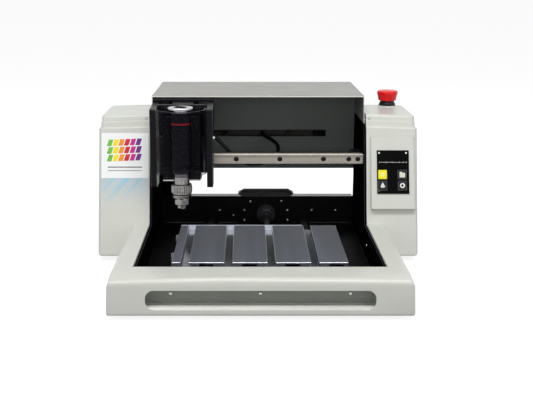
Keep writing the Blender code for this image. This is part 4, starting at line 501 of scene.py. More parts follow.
def facing(point, direction):
    """A place at point whose Z looks along direction."""
    z = Vector(direction).normalized()
    up = Vector((0, 0, 1)) if abs(z.z) < 0.99 else Vector((0, 1, 0))
    x = up.cross(z).normalized()
    y = z.cross(x)
    turn = Matrix((x, y, z)).transposed().to_4x4()
    return Matrix.Translation(Vector(point)) @ turn


def slab(bm, low, high, edge=0.0, place=Matrix()):
    """Adds a block between two corners, its edges rounded."""
    made = bmesh.ops.create_cube(bm, size=1)["verts"]
    low, high = Vector(low), Vector(high)
    bmesh.ops.scale(bm, vec=high - low, verts=made)
    bmesh.ops.translate(bm, vec=(low + high) / 2, verts=made)
    if edge:
        made = round_edges(bm, edges_at(made), edge)["verts"]
    bmesh.ops.transform(bm, matrix=place, verts=made)


def blocks(name, parts, material, body):
    """A piece of blocks, each one (low corner, high corner, width of its rounded edges)."""
    bm = bmesh.new()
    for low, high, edge in parts:
        slab(bm, low, high, edge)
    return piece(name, bm, material, body)


# %% [markdown]
# ## Housings
# The tray and the tower covers are painted mouldings with soft edges; the hood and the rear cover are
# folded sheet. Their shapes are right in the CAD, apart from the sill of the tray's hand recess, so
# each is a copy with its edges rounded: wide on the mouldings, and narrow on the sheet. The recess's
# walls are painted darker, as painted shade, and the hood's front faces paler, as a painted
# highlight along its front edge; the hood is dark inside.

# %% Tray, towers and hood
recess_half, recess_mouth, recess_end = 0.197, -0.3335, -0.305
lip_depth, lip_slope, lip_drop = 0.010, 0.85, 0.0085
deepest, front_drop = 0.0145, 0.003


def recess_sill(co):
    """Lowers the sill of the hand recess towards its back, so that more of the shaded back wall shows."""
    if abs(co.x) > recess_half or not -0.333 < co.y < recess_end or not 0.0225 < co.z < 0.0385:
        return co
    inward = co.y - recess_mouth
    low = lip_slope * inward if inward < lip_depth else lip_drop + (inward - lip_depth) * 0.006 / 0.014
    behind = front_drop if co.y < -0.330 else 0.0
    return Vector((co.x, co.y, co.z - min(low, deepest) - behind))


def in_recess(centre, normal):
    """Whether a face of the tray lies inside the hand recess and doesn't look up."""
    level = abs(centre.x) < recess_half and 0.022 < centre.z < 0.0545
    return level and -0.3325 < centre.y < recess_end and normal.z < 0.6


tray = softened("front_tray_cover", moulding, 0.0010, 3, sharp=40, shape=recess_sill)
# The recess's walls get a darker grey: painted shade under the tray's top edge.
repaint(tray, recess_painted_shade, in_recess)
for side in ("left", "right"):
    softened(f"tower_cover_{side}", moulding, sharp=50)
hood = softened("hood", sheet_paint, 0.0005)
# The hood's forward-facing faces get a paler grey: a painted highlight along its front edge.
repaint(hood, hood_edge_painted_highlight, lambda centre, normal: normal.y < -0.3 and centre.y < 0.08)
repaint(hood, panel_grey, lambda centre, normal: normal.x * centre.x < -0.1 or normal.z < -0.7)
softened("rear_cover", sheet_paint, 0.0004)
softened("back_panel", panel_grey, 0.0004)
softened("control_pod", moulding, 0.0012, 3)
print("housings finished")

# %% [markdown]
# ## Chassis
# The base, the side frames and the beam are plates of black coated steel, and the casings hang on
# them. The coat thins at the edges, so the rounded edge gets a greyer, shinier finish than the faces.
# The side frames are duller than the rest, and the rear arm of each side frame slopes down a little.
# The front of the cover over the table's motor is painted pale: painted light on a face that gets
# little lamp light. The level tops of the rear wall get a paler, glossier grey: a painted highlight.

# %% Chassis
arm_start, arm_slope = 0.2225, 0.21


def sloped_arm(co):
    """Slopes the top of a side frame's rear arm down to the back."""
    on_arm = co.y > arm_start and 0.06 < co.z < 0.085
    return Vector((co.x, co.y, co.z - (arm_slope * (co.y - arm_start) if on_arm else 0.0)))


for node in ("base_plate", "gantry_beam"):
    softened(node, black_coat, 0.0005, rim=coat_edge)
for node in ("side_frame_left", "side_frame_right"):
    softened(node, frame_coat, 0.0005, rim=coat_edge, shape=sloped_arm)
# The rear wall's level top faces get a paler, glossier grey: a painted highlight on its top flange.
softened("rear_wall", black_coat, 0.0005, rim=coat_edge, low_face=ledge_painted_highlight, below=1.0)
hump = softened("y_motor_cover", hump_grey, 0.0025, 4, sharp=20)
# Its forward-facing faces get a pale grey: painted light, since little lamp light reaches them.
repaint(hump, hump_front_painted_light, lambda centre, normal: normal.y < -0.2)
for node in ("foot_front_left", "foot_front_right", "foot_rear_left", "foot_rear_right"):
    softened(node, rubber, sharp=50)
print("chassis finished")

# %% [markdown]
# ## Guides, table and carriage
# The gantry's rail is ground bright and the table's rails are blackened. The table is milled
# aluminium, and the carriage is black anodised plate. On all of them a bevel between 0.4 and 0.9 mm
# wide catches the lamps as a thin bright line.

# %% Rails, table and carriage
softened("x_rail", ground, 0.0004, rim=ground_edge)
rail_low, rail_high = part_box("x_rail")
# Two thin darker strips on the rail's face are painted shade: they stand for the shade in its grooves.
groove_painted_shade = finish("ball_track_painted_shade", (96, 92, 88), 0.4, 0.6, mottle=0.1, mottle_size=0.01)
tracks = []
for drop, half in ((0.0034, 0.0008), (0.0062, 0.0003)):
    z = rail_high.z - drop
    near = (rail_low.x + 0.001, rail_low.y - 0.0001, z - half)
    far = (rail_high.x - 0.001, rail_low.y + 0.0004, z + half)
    tracks.append((near, far, 0.0001))
blocks("rail_grooves_painted_shade", tracks, groove_painted_shade, "base")
for node in ("gantry_end_left", "gantry_end_right"):
    softened(node, anodised, 0.0005, rim=anodised_wear_and_hub_sheen)
for node in ("y_rail_left", "y_rail_right"):
    softened(node, rail_black, 0.0004)
table_low, table_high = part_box("t_slot_table")
softened("t_slot_table", milled, 0.0008, rim=milled_edge, low_face=slot_floor, below=table_high.z - 0.004)
for node in ("table_carriage", "x_nut", "carriage_back_plate", "z_slide_plate", "spindle_clamp"):
    softened(node, anodised, 0.0004)
for node in ("carriage_side_left", "carriage_side_right", "carriage_top_plate"):
    softened(node, anodised, 0.0009, 3, rim=anodised_wear_and_hub_sheen)
for node in ("x_block_left", "x_block_right"):
    softened(node, ground, 0.0004)
softened("power_supply", plain_alloy)
softened("controller_board", board_green, 0.0002)
for node in ("x_motor", "y_motor", "z_motor"):
    softened(node, black_oxide, 0.0005)
print("guides and carriage finished")

# %% [markdown]
# ## Lead screws
# A lead screw moves its nut ten millimetres a turn here. The thread is a small ridge spun round the
# shaft while it advances, which is what the spin operator's dvec does.

# %% Lead screw helper
lead, steps_a_turn = 0.010, 20


def spin_round(bm, geom, angle, steps, rise=0.0, centre=(0, 0, 0), copies=False):
    """Spins geometry about an upright axis, rising at each step; it may leave copies without walls."""
    return bmesh.ops.spin(
        bm, geom=geom, cent=centre, axis=(0, 0, 1), dvec=(0, 0, rise), angle=angle, steps=steps,
        use_merge=False, use_normal_flip=False, use_duplicate=copies,
    )["geom_last"]


def lead_screw(node, axis, radius, start, end, steel):
    """A shaft with journals, and a helical thread between start and end."""
    low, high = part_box(node)
    middle = (low + high) / 2
    along = "XYZ".index(axis)
    core = radius * 0.90
    reach = (low[along], high[along])
    direction = Vector([1.0 if i == along else 0.0 for i in range(3)])
    place = facing([0 if i == along else middle[i] for i in range(3)], direction)
    journal = radius * (0.64 if axis != "Z" else 0.9)
    rings = [
        (journal * 0.9, reach[0]), (journal, reach[0] + 0.0004), (journal, start), (core, start + 0.0001),
        (core, end - 0.0001), (journal, end), (journal, reach[1] - 0.0004), (journal * 0.9, reach[1]),
    ]
    shaft = lofted(node + "_shaft", rings, steel, body_of[node], place, steps=32)
    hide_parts(node)
    bm = bmesh.new()
    half = lead * 0.30
    corners = [(core - 0.0003, -half), (core - 0.0003, half), (radius, half * 0.72), (radius, -half * 0.72)]
    turns = int((end - start - 3 * half) / lead)
    face = bm.faces.new([bm.verts.new((x, 0, start + half * 1.4 + z)) for x, z in corners])
    geom = [face, *face.edges, *face.verts]
    spin_round(bm, geom, 2 * pi * turns, steps_a_turn * turns, rise=lead / steps_a_turn)
    bmesh.ops.transform(bm, matrix=place, verts=bm.verts)
    print(node, "has", turns, "turns")
    return piece(node + "_thread", bm, steel, body_of[node], 50)


# %% Screws
lead_screw("y_screw", "Y", 0.006, -0.2495, 0.2035, dark_steel)
lead_screw("x_screw", "X", 0.008, -0.1900, 0.1900, bright)
lead_screw("z_screw", "Z", 0.004, 0.2245, 0.2762, bright)

# %% [markdown]
# ## Spindle
# The spindle is all turned work: a knob to change cutters, a black glossy body with one red ring, and
# below it a micrometer that sets how deep the cutter goes. Lofting it ring by ring gives each part the
# chamfers and knurls that catch light. It stands behind a smoked guard.


# %% Spindle knob and body
def box_z(node):
    """The lowest and the highest point of a node."""
    low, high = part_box(node)
    return low.z, high.z


def knurl(radius, teeth, deep):
    """The radius of a rim with rounded teeth at a turn."""
    return lambda turn: radius - deep * (0.5 + 0.5 * cos(turn * teeth))


low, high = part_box("spindle_body")
axis_x, axis_y = (low.x + high.x) / 2, (low.y + high.y) / 2
spindle_place = Matrix.Translation((axis_x, axis_y, 0))
knob_low, knob_high = box_z("cutter_knob")
rim = knurl(0.0248, 48, 0.0004)
knob = lofted("cutter_knob_turned", [
    (0.0225, knob_low), (0.0240, knob_low + 0.0003), (rim, knob_low + 0.0009), (rim, knob_high - 0.0011),
    (0.0240, knob_high - 0.0003), (0.0228, knob_high), (0.0130, knob_high), (0.0126, knob_high - 0.0004),
    (0.0070, knob_high - 0.0004), (0.0066, knob_high), (0.0030, knob_high), (0.0028, knob_high - 0.0015),
], bright, "spindle_rotor", spindle_place, steps=192)
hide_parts("cutter_knob")
body_top = high.z - 0.0054
wide, groove, waist = 0.01945, 0.0191, 0.0188
body_rings = [
    (waist, low.z), (wide, low.z + 0.0006), (wide, 0.2020), (groove, 0.2023), (groove, 0.2029),
    (wide, 0.2032), (wide, 0.2640), (groove, 0.2643), (groove, 0.2649), (wide, 0.2652),
    (wide, 0.2794), (waist, 0.2797), (waist, 0.2823), (wide, 0.2826), (wide, body_top - 0.0010),
    (waist, body_top - 0.0001), (0.0140, body_top),
]
barrel_body = lofted("spindle_body_turned", body_rings, spindle_black, "z_head", spindle_place, steps=96)
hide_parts("spindle_body")
neck_rings = [
    (0.0128, body_top - 0.0002), (0.0128, body_top + 0.0016), (0.0122, body_top + 0.0019),
    (0.0122, body_top + 0.0027), (0.0128, body_top + 0.0030), (0.0125, high.z - 0.0004), (0.0120, high.z),
]
lofted("spindle_neck", neck_rings, plain_alloy, "z_head", spindle_place)
ring_red = finish("ring_red", (190, 18, 30), 0.22, 0.4, mottle=0.05, mottle_size=0.01, coat=0.4)
red_rings = [(0.0187, 0.2792), (0.0196, 0.2794), (0.0196, 0.2826), (0.0187, 0.2828)]
lofted("spindle_red_ring", red_rings, ring_red, "z_head", spindle_place, steps=96)
print("spindle axis at", round(axis_x, 4), round(axis_y, 4), "body top", round(body_top, 4))

# %% [markdown]
# ## Micrometer nose
# The depth ring is gripped by straight flutes, so its rim is a circle whose radius dips at each one.
# Under it are a slotted flange, a chamfered hexagon nut and the tip that rides on the work.

# %% Micrometer barrel and depth ring
low_z, high_z = box_z("micrometer_barrel")
wide, groove = 0.01585, 0.0153
barrel = lofted("micrometer_barrel_turned", [
    (0.0150, low_z), (wide, low_z + 0.0006), (wide, high_z - 0.0040), (groove, high_z - 0.0036),
    (groove, high_z - 0.0026), (wide, high_z - 0.0022), (wide, high_z - 0.0006), (0.0150, high_z),
], nose_steel, "z_head", spindle_place, steps=96)
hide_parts("micrometer_barrel")
low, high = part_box("depth_ring")
ring_radius = (high.x - low.x) / 2
plain_radius = ring_radius - 0.0008
flutes = knurl(ring_radius, 32, 0.0011)
grip = [
    (ring_radius - 0.0014, low.z), (plain_radius, low.z + 0.0006), (plain_radius, low.z + 0.0022),
    (flutes, low.z + 0.0028), (flutes, high.z - 0.0034), (plain_radius, high.z - 0.0028),
    (plain_radius, high.z - 0.0008), (ring_radius - 0.0016, high.z), (0.0170, high.z),
]
ring = lofted("depth_ring_fluted", grip, nose_steel, "depth_ring_body", spindle_place, steps=192, smooth=20)
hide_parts("depth_ring")
print("depth ring radius", round(ring_radius, 5), "from", round(low.z, 4), "to", round(high.z, 4))

# %% Depth nose
low_z, high_z = box_z("depth_nose")
corner = hexagon(0.0152)


def chamfered(limit):
    """The nut's hexagon with its corners cut back to a radius."""
    return lambda turn: min(corner(turn), limit)


nose = lofted("depth_nose_turned", [
    (0.0062, 0.1103), (0.0072, low_z), (0.0092, 0.1118), (0.0097, 0.1128), (0.0097, 0.1186),
    (0.0110, 0.1189), (chamfered(0.0128), 0.1190), (chamfered(0.0142), 0.1202), (corner, 0.1216),
    (corner, 0.1292), (chamfered(0.0142), 0.1306), (chamfered(0.0130), 0.1317), (0.0115, 0.1319),
    (0.0115, 0.1340), (0.0184, 0.1341), (0.0190, 0.1347), (0.0190, 0.1368), (0.0183, 0.1371),
    (0.0183, 0.1376), (0.0190, 0.1379), (0.0190, 0.1396), (0.0184, 0.1402), (0.0122, 0.1403),
    (0.0120, high_z),
], nose_steel, "depth_nose_body", spindle_place, steps=96, smooth=25)
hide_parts("depth_nose")
softened("cutter", bright, 0.0001, 1, sharp=50)
print("nose from", round(low_z, 4), "to", round(high_z, 4))

# %% [markdown]
# ## Marks on the micrometer
# The barrel has a ring of scale lines, the depth ring an index dot, and the flange a long slot for a
# hook spanner. The lines are thin blocks, turned round the barrel one by one. The slot is not cut: a
# row of thin dark sections, which a spin copies along its part of a turn, paints the shade in it.

# %% Marks on the micrometer
bm = bmesh.new()
divisions, scale_foot = 50, 0.1617
for i in range(divisions):
    tall = 0.0030 if i % 10 == 0 else 0.0020 if i % 5 == 0 else 0.0013
    spot = spindle_place @ Matrix.Rotation(2 * pi * i / divisions, 4, "Z")
    slab(bm, (0.0157, -0.00012, scale_foot), (0.01588, 0.00012, scale_foot + tall), place=spot)
marks = finish("black_fill_and_slot_shade", (12, 12, 14), 0.5, mottle=0.05, mottle_size=0.004, specular=0.2)
piece("depth_scale_marks", bm, marks, "z_head")


def ring_sections(bm, inner, outer, low, high, sweep, steps):
    """Adds upright sections of a ring, one at each step through sweep degrees."""
    corners = ((inner, low), (outer, low), (outer, high), (inner, high))
    section = bm.faces.new([bm.verts.new((wide, 0, height)) for wide, height in corners])
    geom = [section, *section.edges, *section.verts]
    spin_round(bm, geom, radians(sweep), steps, copies=True)


def on_round(degrees, radius, z):
    """A place on a round part of the spindle, looking out of it, some degrees right of the front."""
    right, ahead = sin(radians(degrees)), -cos(radians(degrees))
    return facing((axis_x + radius * right, axis_y + radius * ahead, z), (right, ahead, 0))


# The slot's dark sections are painted shade; the same black is real fill in the scale lines.
bm = bmesh.new()
ring_sections(bm, 0.0178, 0.01915, 0.1352, 0.1386, 58, 24)
bmesh.ops.remove_doubles(bm, verts=bm.verts, dist=0.000001)
slot_turn = Matrix.Rotation(radians(6 - 90), 4, "Z")
bmesh.ops.transform(bm, matrix=spindle_place @ slot_turn, verts=bm.verts)
piece("flange_slot_painted_shade", bm, marks, "depth_nose_body")
dot = on_round(7, ring_radius + 0.0002, 0.1510)
dot_rings = [(0.0020, -0.0010), (0.0020, 0.0), (0.0016, 0.0002)]
lofted("ring_index_dot", dot_rings, bright, "depth_ring_body", dot, 24)
fill_rings = [(0.0010, 0.0001), (0.0010, 0.00025), (0.0007, 0.0003)]
lofted("ring_index_fill", fill_rings, marks, "depth_ring_body", dot, 16)
print("micrometer marked with", divisions, "divisions")

# %% [markdown]
# ## Smoked guard
# The guard is one sheet bent round the spindle. Its line starts as one upright edge, runs straight,
# spins half a turn about the spindle and runs straight again; solidify then gives it its thickness.

# %% Guard
low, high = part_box("spindle_shield")
bm = bmesh.new()
upright = bm.edges.new((bm.verts.new((low.x, high.y, low.z)), bm.verts.new((low.x, high.y, high.z))))


def run(edges, vector):
    """Extrudes edges straight along a vector and gives the new edges."""
    made = bmesh.ops.extrude_edge_only(bm, edges=edges)["geom"]
    bmesh.ops.translate(bm, vec=vector, verts=[v for v in made if isinstance(v, bmesh.types.BMVert)])
    return [e for e in made if isinstance(e, bmesh.types.BMEdge)]


def outward(face):
    """How much a face looks away from the spindle's axis."""
    middle = face.calc_center_median()
    return face.normal.dot(middle - Vector((axis_x, axis_y, middle.z)))


last = run([upright], (0, axis_y - high.y, 0))
bend = last + [v for e in last for v in e.verts]
spun = spin_round(bm, bend, pi, 64, centre=(axis_x, axis_y, 0))
run([e for e in spun if isinstance(e, bmesh.types.BMEdge)], (0, high.y - axis_y, 0))
bmesh.ops.recalc_face_normals(bm, faces=bm.faces)
if sum(outward(face) for face in bm.faces) < 0:
    bmesh.ops.reverse_faces(bm, faces=bm.faces)
bmesh.ops.solidify(bm, geom=bm.faces[:], thickness=0.0025)
round_edges(bm, sharp_edges(bm, 60), 0.0004)
guard = piece("spindle_guard", bm, acrylic, "x_carriage")
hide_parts("spindle_shield")
print("guard radius", round((high.x - low.x) / 2, 4))

# %% [markdown]
# ## Screws
# A machine like this is held by dozens of screws: black cap screws with a hexagon socket on the
# machined plates, and bright pan heads with a cross recess on the sheet metal. One helper lofts a
# head from its outline and then goes down into its socket, which is one more ring of another shape.


# %% Screw helper
def cross(long, wide):
    """The radius of a plus sign at a turn."""

    def reach(turn):
        c, s = abs(cos(turn)) + 1e-9, abs(sin(turn)) + 1e-9
        return max(min(long / c, wide / s), min(wide / c, long / s))

    return reach


def heads(name, places, outline, socket, material, body):
    """Screw heads of one kind, one at each place, looking along its Z."""
    bm = bmesh.new()
    tall = outline[-1][1]
    recess = [(lambda turn: socket(turn) * 1.06, tall), (socket, tall * 0.92), (socket, tall * 0.30)]
    for place in places:
        loft(bm, [*outline, *recess], place, 24)
    print(name, len(places))
    return piece(name, bm, material, body, 30)


def cap_heads(name, places, radius, height, material, body, dome=0.3):
    """Cap heads with a hexagon socket; dome is the share of the height that is rounded."""
    outline = [
        (radius, -height * 0.2), (radius, height * (1 - dome)), (radius * 0.93, height * (1 - dome * 0.35)),
        (radius * 0.78, height),
    ]
    return heads(name, places, outline, hexagon(radius * 0.52), material, body)


def pan_heads(name, places, radius, height, material, body):
    """Low round heads with a cross recess."""
    outline = [
        (radius, -height * 0.2), (radius, height * 0.15), (radius * 0.92, height * 0.55),
        (radius * 0.76, height * 0.85), (radius * 0.58, height),
    ]
    return heads(name, places, outline, cross(radius * 0.5, radius * 0.135), material, body)


# %% Screws on the housings
front, back, left_side, right_side = (0, -1, 0), (0, 1, 0), (-1, 0, 0), (1, 0, 0)
lean = 0.2975
lean_up = Vector((0, lean, 1)).normalized()
lean_out = Vector((0, -1, lean)).normalized()


def lean_y(z):
    """Where the towers' leaning front is at height z."""
    return -0.0135 + (z - 0.0106) * lean


recess_back = -0.3095
tray_spots = [facing((x, recess_back, 0.0405), front) for x in (-0.1513, 0, 0.1513)]
pan_heads("tray_screws", tray_spots, 0.0038, 0.0022, zinc, "base")
tower_spots = [facing((x, lean_y(0.2782) + 0.0045, 0.2782), lean_out) for x in (-0.2272, 0.2245)]
tower_outline = [(0.0030, -0.001), (0.0030, 0.0003), (0.0027, 0.0010), (0.0022, 0.0013)]
heads("tower_screws", tower_spots, tower_outline, hexagon(0.0015), zinc, "base")
wall_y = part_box("rear_wall")[0].y
wall_spots = [
    (-0.0837, 0.0467), (-0.0286, 0.0467), (0.0685, 0.0467), (0.1232, 0.0467), (0.1772, 0.0467),
    (-0.0286, 0.0234), (0.0692, 0.0234), (-0.0148, 0.0664), (0.0548, 0.0676), (-0.0531, 0.0350),
]
wall_places = [facing((x, wall_y, z), front) for x, z in wall_spots]
pan_heads("rear_wall_screws", wall_places, 0.0026, 0.0016, zinc, "base")
frame_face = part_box("side_frame_right")[0].x
frame_spots = [
    facing((frame_face, -0.0347, 0.0409), left_side),
    facing((frame_face + 0.0014, 0.0720, 0.2735), left_side),
]
pan_heads("frame_screws", frame_spots, 0.0030, 0.0018, zinc, "base")
hub_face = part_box("y_bearing_hub")[0].y + 0.006
screw_x, screw_z, hub_circle = 0.0204, 0.0393, 0.0165
hub_spots = [
    facing((screw_x + hub_circle * cos(t), hub_face, screw_z + hub_circle * sin(t)), front)
    for t in (radians(45 + 90 * i) for i in range(4))
]
cap_heads("hub_screws", hub_spots, 0.0022, 0.0016, black_oxide, "base")

# %% Screws on the rail, the carriage and the back
rail_z = (rail_low.z + rail_high.z) / 2
rail_spots = [side * x for side in (-1, 1) for x in (0.04435, 0.13305, 0.1846, 0.20295)]
rail_places = [facing((x, rail_low.y + 0.0078, rail_z), front) for x in rail_spots]
cap_heads("rail_screws", rail_places, 0.0049, 0.0042, black_oxide, "base", 0.1)
cheek_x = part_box("carriage_side_right")[1].x
cheek_spots = [(0.037, 0.170), (0.037, 0.205), (0.100, 0.290), (0.100, 0.272)]
cheek_sunk = 0.0018
for side, x, out_x in (("right", cheek_x, 1), ("left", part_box("carriage_side_left")[0].x, -1)):
    places = [facing((x - cheek_sunk * out_x, y, z), (out_x, 0, 0)) for y, z in cheek_spots]
    cap_heads(f"cheek_screws_{side}", places, 0.0035, 0.0020, black_oxide, "x_carriage")
clip_spots = [facing((cheek_x, 0.037, 0.2440), right_side)]
pan_heads("cheek_clip_screw", clip_spots, 0.0032, 0.0030, zinc, "x_carriage")
top_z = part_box("carriage_top_plate")[1].z
top_spots = [facing((x, 0.095, top_z), (0, 0, 1)) for x in (-0.2065, -0.0955, -0.173, -0.129)]
cap_heads("top_plate_screws", top_spots, 0.0032, 0.0016, black_oxide, "x_carriage")
cover_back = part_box("rear_cover")[1].y
rear_x, rear_z = (-0.205, -0.07, 0.07, 0.205), (0.150, 0.312)
rear_spots = [facing((x, cover_back, z), back) for x in rear_x for z in rear_z]
pan_heads("rear_cover_screws", rear_spots, 0.0034, 0.0018, black_oxide, "base")
clamp_low, clamp_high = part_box("spindle_clamp")
clamp_z = (clamp_low.z + 0.008, clamp_high.z - 0.006)
clamp_spots = [facing((axis_x + x, clamp_low.y, z), front) for x in (-0.029, 0.029) for z in clamp_z]
cap_heads("clamp_screws", clamp_spots, 0.0030, 0.0020, black_oxide, "z_head")
near = (clamp_low.x + 0.0004, clamp_low.y - 0.0003, clamp_low.z - 0.0002)
far = (clamp_high.x - 0.0004, clamp_low.y + 0.0030, clamp_low.z + 0.0022)
blocks("clamp_bare_edge", [(near, far, 0.0002)], plain_alloy, "z_head")
barrel_spots = [on_round(degrees, 0.0158, 0.1657) for degrees in (-8, 14)]
cap_heads("barrel_set_screws", barrel_spots, 0.0013, 0.0003, zinc, "z_head")

# %% [markdown]
# ## Control panel
# The keypad is a black film on the leaning face of the pod, with raised keys. The keys slide along
# their joint's axis, so that axis also says which way the panel faces.

# %% Keypad
joint_axis = {j["name"]: Vector(j["axis"]) for j in frame["joints"]}
panel_out = -joint_axis["key_start_press"]
panel_up = Vector((0, panel_out.z, -panel_out.y))
if panel_up.z < 0:
    panel_up.negate()
softened("keypad_membrane", membrane_film, 0.0003)
key_top = {}
for node in ("key_start", "key_menu", "key_home", "key_pause"):
    if node == "key_start":
        softened(node, yellow_print, 0.0005)
    else:
        softened(node, black_plastic, 0.0005, rim=plastic_edge)
    low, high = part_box(node)
    key_top[node] = (low + high) / 2 + panel_out * 0.00066


def on_panel(centre, right=0.0, up=0.0):
    """A place on the panel, off a centre to the right and up, whose Z looks out of it."""
    x = Vector((1, 0, 0))
    turn = Matrix((x, panel_up, panel_out)).transposed().to_4x4()
    return Matrix.Translation(centre + x * right + panel_up * up) @ turn


print("keypad faces", [round(v, 3) for v in panel_out])

# %% Key signs
def bar(bm, place, left, right, low, high):
    """Adds a thin printed bar on the panel."""
    slab(bm, (left, low, -0.0001), (right, high, 0.00008), 0.0, place)


bm = bmesh.new()
menu = on_panel(key_top["key_menu"])
bar(bm, menu, -0.0056, 0.0056, -0.0060, 0.0036)
bar(bm, menu, -0.0056, -0.0004, 0.0036, 0.0054)
piece("key_menu_sign", bm, stone_print, "key_menu_body")
bm = bmesh.new()
sign_home = on_panel(key_top["key_home"])
bar(bm, sign_home, -0.0036, 0.0036, -0.0042, 0.0)
roof = bmesh.ops.create_circle(bm, cap_ends=True, segments=3, radius=0.0058)["verts"]
bmesh.ops.transform(bm, matrix=sign_home @ Matrix.Translation((0, 0.0006, 0.00008)), verts=roof)
piece("key_home_sign", bm, white_print, "key_home_body")
pause_ring = [(0.0051, -0.0001), (0.0051, 0.00008), (0.0026, 0.00008), (0.0026, -0.0001)]
lofted("key_pause_sign", pause_ring, white_print, "key_pause_body", on_panel(key_top["key_pause"]), 40, True)
start_disc = [(0.0046, -0.0001), (0.0046, 0.00006), (0.0043, 0.00008)]
lofted("key_start_sign", start_disc, pale_yellow, "key_start_body", on_panel(key_top["key_start"]), 40)
low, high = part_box("keypad_membrane")
film = (low + high) / 2 + panel_out * 0.00078
bm = bmesh.new()
ticks = 21
for i in range(ticks):
    tall = 0.0012 if i % 5 == 0 else 0.0007
    spot = on_panel(film, (i - 10) * 0.0027, 0.0196)
    bar(bm, spot, -0.0005, 0.0005, -tall, tall)
piece("membrane_ticks", bm, white_print, "base")
print("signs on", len(key_top), "keys, and", ticks, "ticks")

# %% Panel lamps
lamp_pale = finish("pale_lamp", (214, 232, 236), 0.25, mottle_size=0.004)
lamp_dark = finish("dark_lamp", (84, 80, 60), 0.30, mottle_size=0.004)
lens = [(0.0018, -0.0001), (0.0018, 0.0003), (0.0012, 0.0006)]
lofted("lamp_left", lens, lamp_pale, "base", on_panel(film, -0.0277, 0.0386), 20)
lofted("lamp_right", lens, lamp_pale, "base", on_panel(film, 0.0265, 0.0386), 20)
lofted("lamp_low", lens, lamp_dark, "base", on_panel(film, -0.0282, -0.0386), 20)
print("panel lamps set")

# %% [markdown]
# ## Stop button
# An emergency stop is a fat red mushroom on a black collar, widest near its top so that a palm finds
# it. Three signs on its top say which way to twist it free: each is a triangle at the end of a row of
# thin sections.

# %% Stop button
low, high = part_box("estop_head")
stop_place = Matrix.Translation(((low.x + high.x) / 2, (low.y + high.y) / 2, 0))
head = lofted("estop_mushroom", [(radius, low.z + up) for radius, up in (
    (0.0176, 0.0), (0.0186, 0.0004), (0.0191, 0.0016), (0.0196, 0.0050), (0.0204, 0.0090),
    (0.0211, 0.0122), (0.0216, 0.0128), (0.0220, 0.0138), (0.0220, 0.0172), (0.0217, 0.0188),
    (0.0209, 0.0200), (0.0196, 0.0208), (0.0176, 0.0211), (0.0162, 0.0212), (0.0156, 0.0206),
    (0.0110, 0.0206), (0.0105, 0.0211), (0.0050, 0.0212),
)], red_plastic, "estop_head_body", stop_place)
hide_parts("estop_head")
bm = bmesh.new()
dish = low.z + 0.0204
arrow_top = dish + 0.0004
tip_place = Matrix.Rotation(radians(66), 4, "Z") @ Matrix.Translation((0.0133, 0, 0))
for i in range(3):
    turn = Matrix.Rotation(radians(120 * i), 4, "Z")
    ring_sections(bm, 0.0126, 0.0140, dish, arrow_top, 62, 12)
    new_verts = [v for v in bm.verts if not v.tag]
    before = set(bm.verts)
    loft(bm, [(0.0026, dish), (0.0026, arrow_top)], tip_place, 3)
    tip = [v for v in bm.verts if v not in before]
    bmesh.ops.transform(bm, matrix=stop_place @ turn, verts=new_verts + tip)
    for v in bm.verts:
        v.tag = True
bmesh.ops.remove_doubles(bm, verts=bm.verts, dist=0.000001)
piece("estop_arrows", bm, white_print, "estop_head_body")
low_z, high_z = box_z("estop_collar")
collar = lofted("estop_collar_turned", [
    (0.0177, low_z), (0.0177, low_z + 0.0024), (0.0170, low_z + 0.0028), (0.0170, high_z - 0.0018),
    (0.0166, high_z - 0.0006), (0.0160, high_z), (0.0154, high_z), (0.0154, low_z),
], black_plastic, "base", stop_place, bore=True)
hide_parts("estop_collar")
softened("estop_stem", black_plastic, 0.0004, sharp=50)
print("stop button from", round(low.z, 4), "to", round(high.z, 4))

# %% [markdown]
# ## Sticker
# The left tower carries a big vinyl sticker: a white field, and below it clear vinyl with pale blue
# streaks that fade into the cover's own grey. The print on it here is a plain colour chart, with six
# columns of slanted patches over two thin rules. Vinyl is glossier than paint, so it needs a finish
# of its own.

# %% Sticker
vinyl = finish("white_vinyl", (246, 247, 247), 0.26, mottle=0.01, specular=0.3)
sticker_x = (-0.3160, -0.2214)
sticker_low, sticker_middle, sticker_high = 0.1030, 0.1629, 0.2502
print_up = 0.00012


def on_tower(x, z, up=0.0):
    """A place on the left tower's leaning front, looking out of it."""
    turn = Matrix((Vector((1, 0, 0)), lean_up, lean_out)).transposed().to_4x4()
    return Matrix.Translation((x, lean_y(z), z)) @ turn @ Matrix.Translation((0, 0, up))


def leaning_slab(bm, left, right, low, high, slant=0.0, up=0.0):
    """Adds a film on the tower between two heights, its sides slanted by a share of its height."""
    half_wide, half_tall = (right - left) / 2, (high - low) / 2 / lean_up.z
    shear = Matrix.Identity(4)
    shear[0][1] = slant
    place = on_tower((left + right) / 2, (low + high) / 2, up) @ shear
    slab(bm, (-half_wide, -half_tall, -0.0001), (half_wide, half_tall, 0.00012), 0.0, place)


middle_x = sum(sticker_x) / 2
chart_half = 0.0345
bm = bmesh.new()
leaning_slab(bm, *sticker_x, sticker_middle, sticker_high)
piece("tower_sticker", bm, vinyl, "base")
inks = {
    "green": (120, 190, 70), "yellow": (250, 226, 50), "orange": (244, 150, 40), "red": (214, 40, 50),
    "magenta": (206, 40, 140), "purple": (112, 44, 140),
}
for column, (name, colour) in enumerate(inks.items()):
    ink = finish(f"ink_{name}", colour, 0.30, mottle_size=0.01, specular=0.3)
    bm = bmesh.new()
    left = middle_x - chart_half + column * 0.0115
    for row in range(3):
        low = 0.1950 + row * 0.0148 + column * 0.0004
        leaning_slab(bm, left, left + 0.0092, low, low + 0.0128, 0.32, print_up)
    piece(f"chart_{name}", bm, ink, "base")
bm = bmesh.new()
for low, tall in ((0.1830, 0.0020), (0.1766, 0.0012)):
    leaning_slab(bm, middle_x - chart_half, middle_x + chart_half, low, low + tall, 0.0, print_up)
ink_grey = finish("ink_grey", (90, 92, 96), 0.30, mottle_size=0.01, specular=0.3)
piece("chart_rules", bm, ink_grey, "base")
print("chart of", len(inks), "inks")

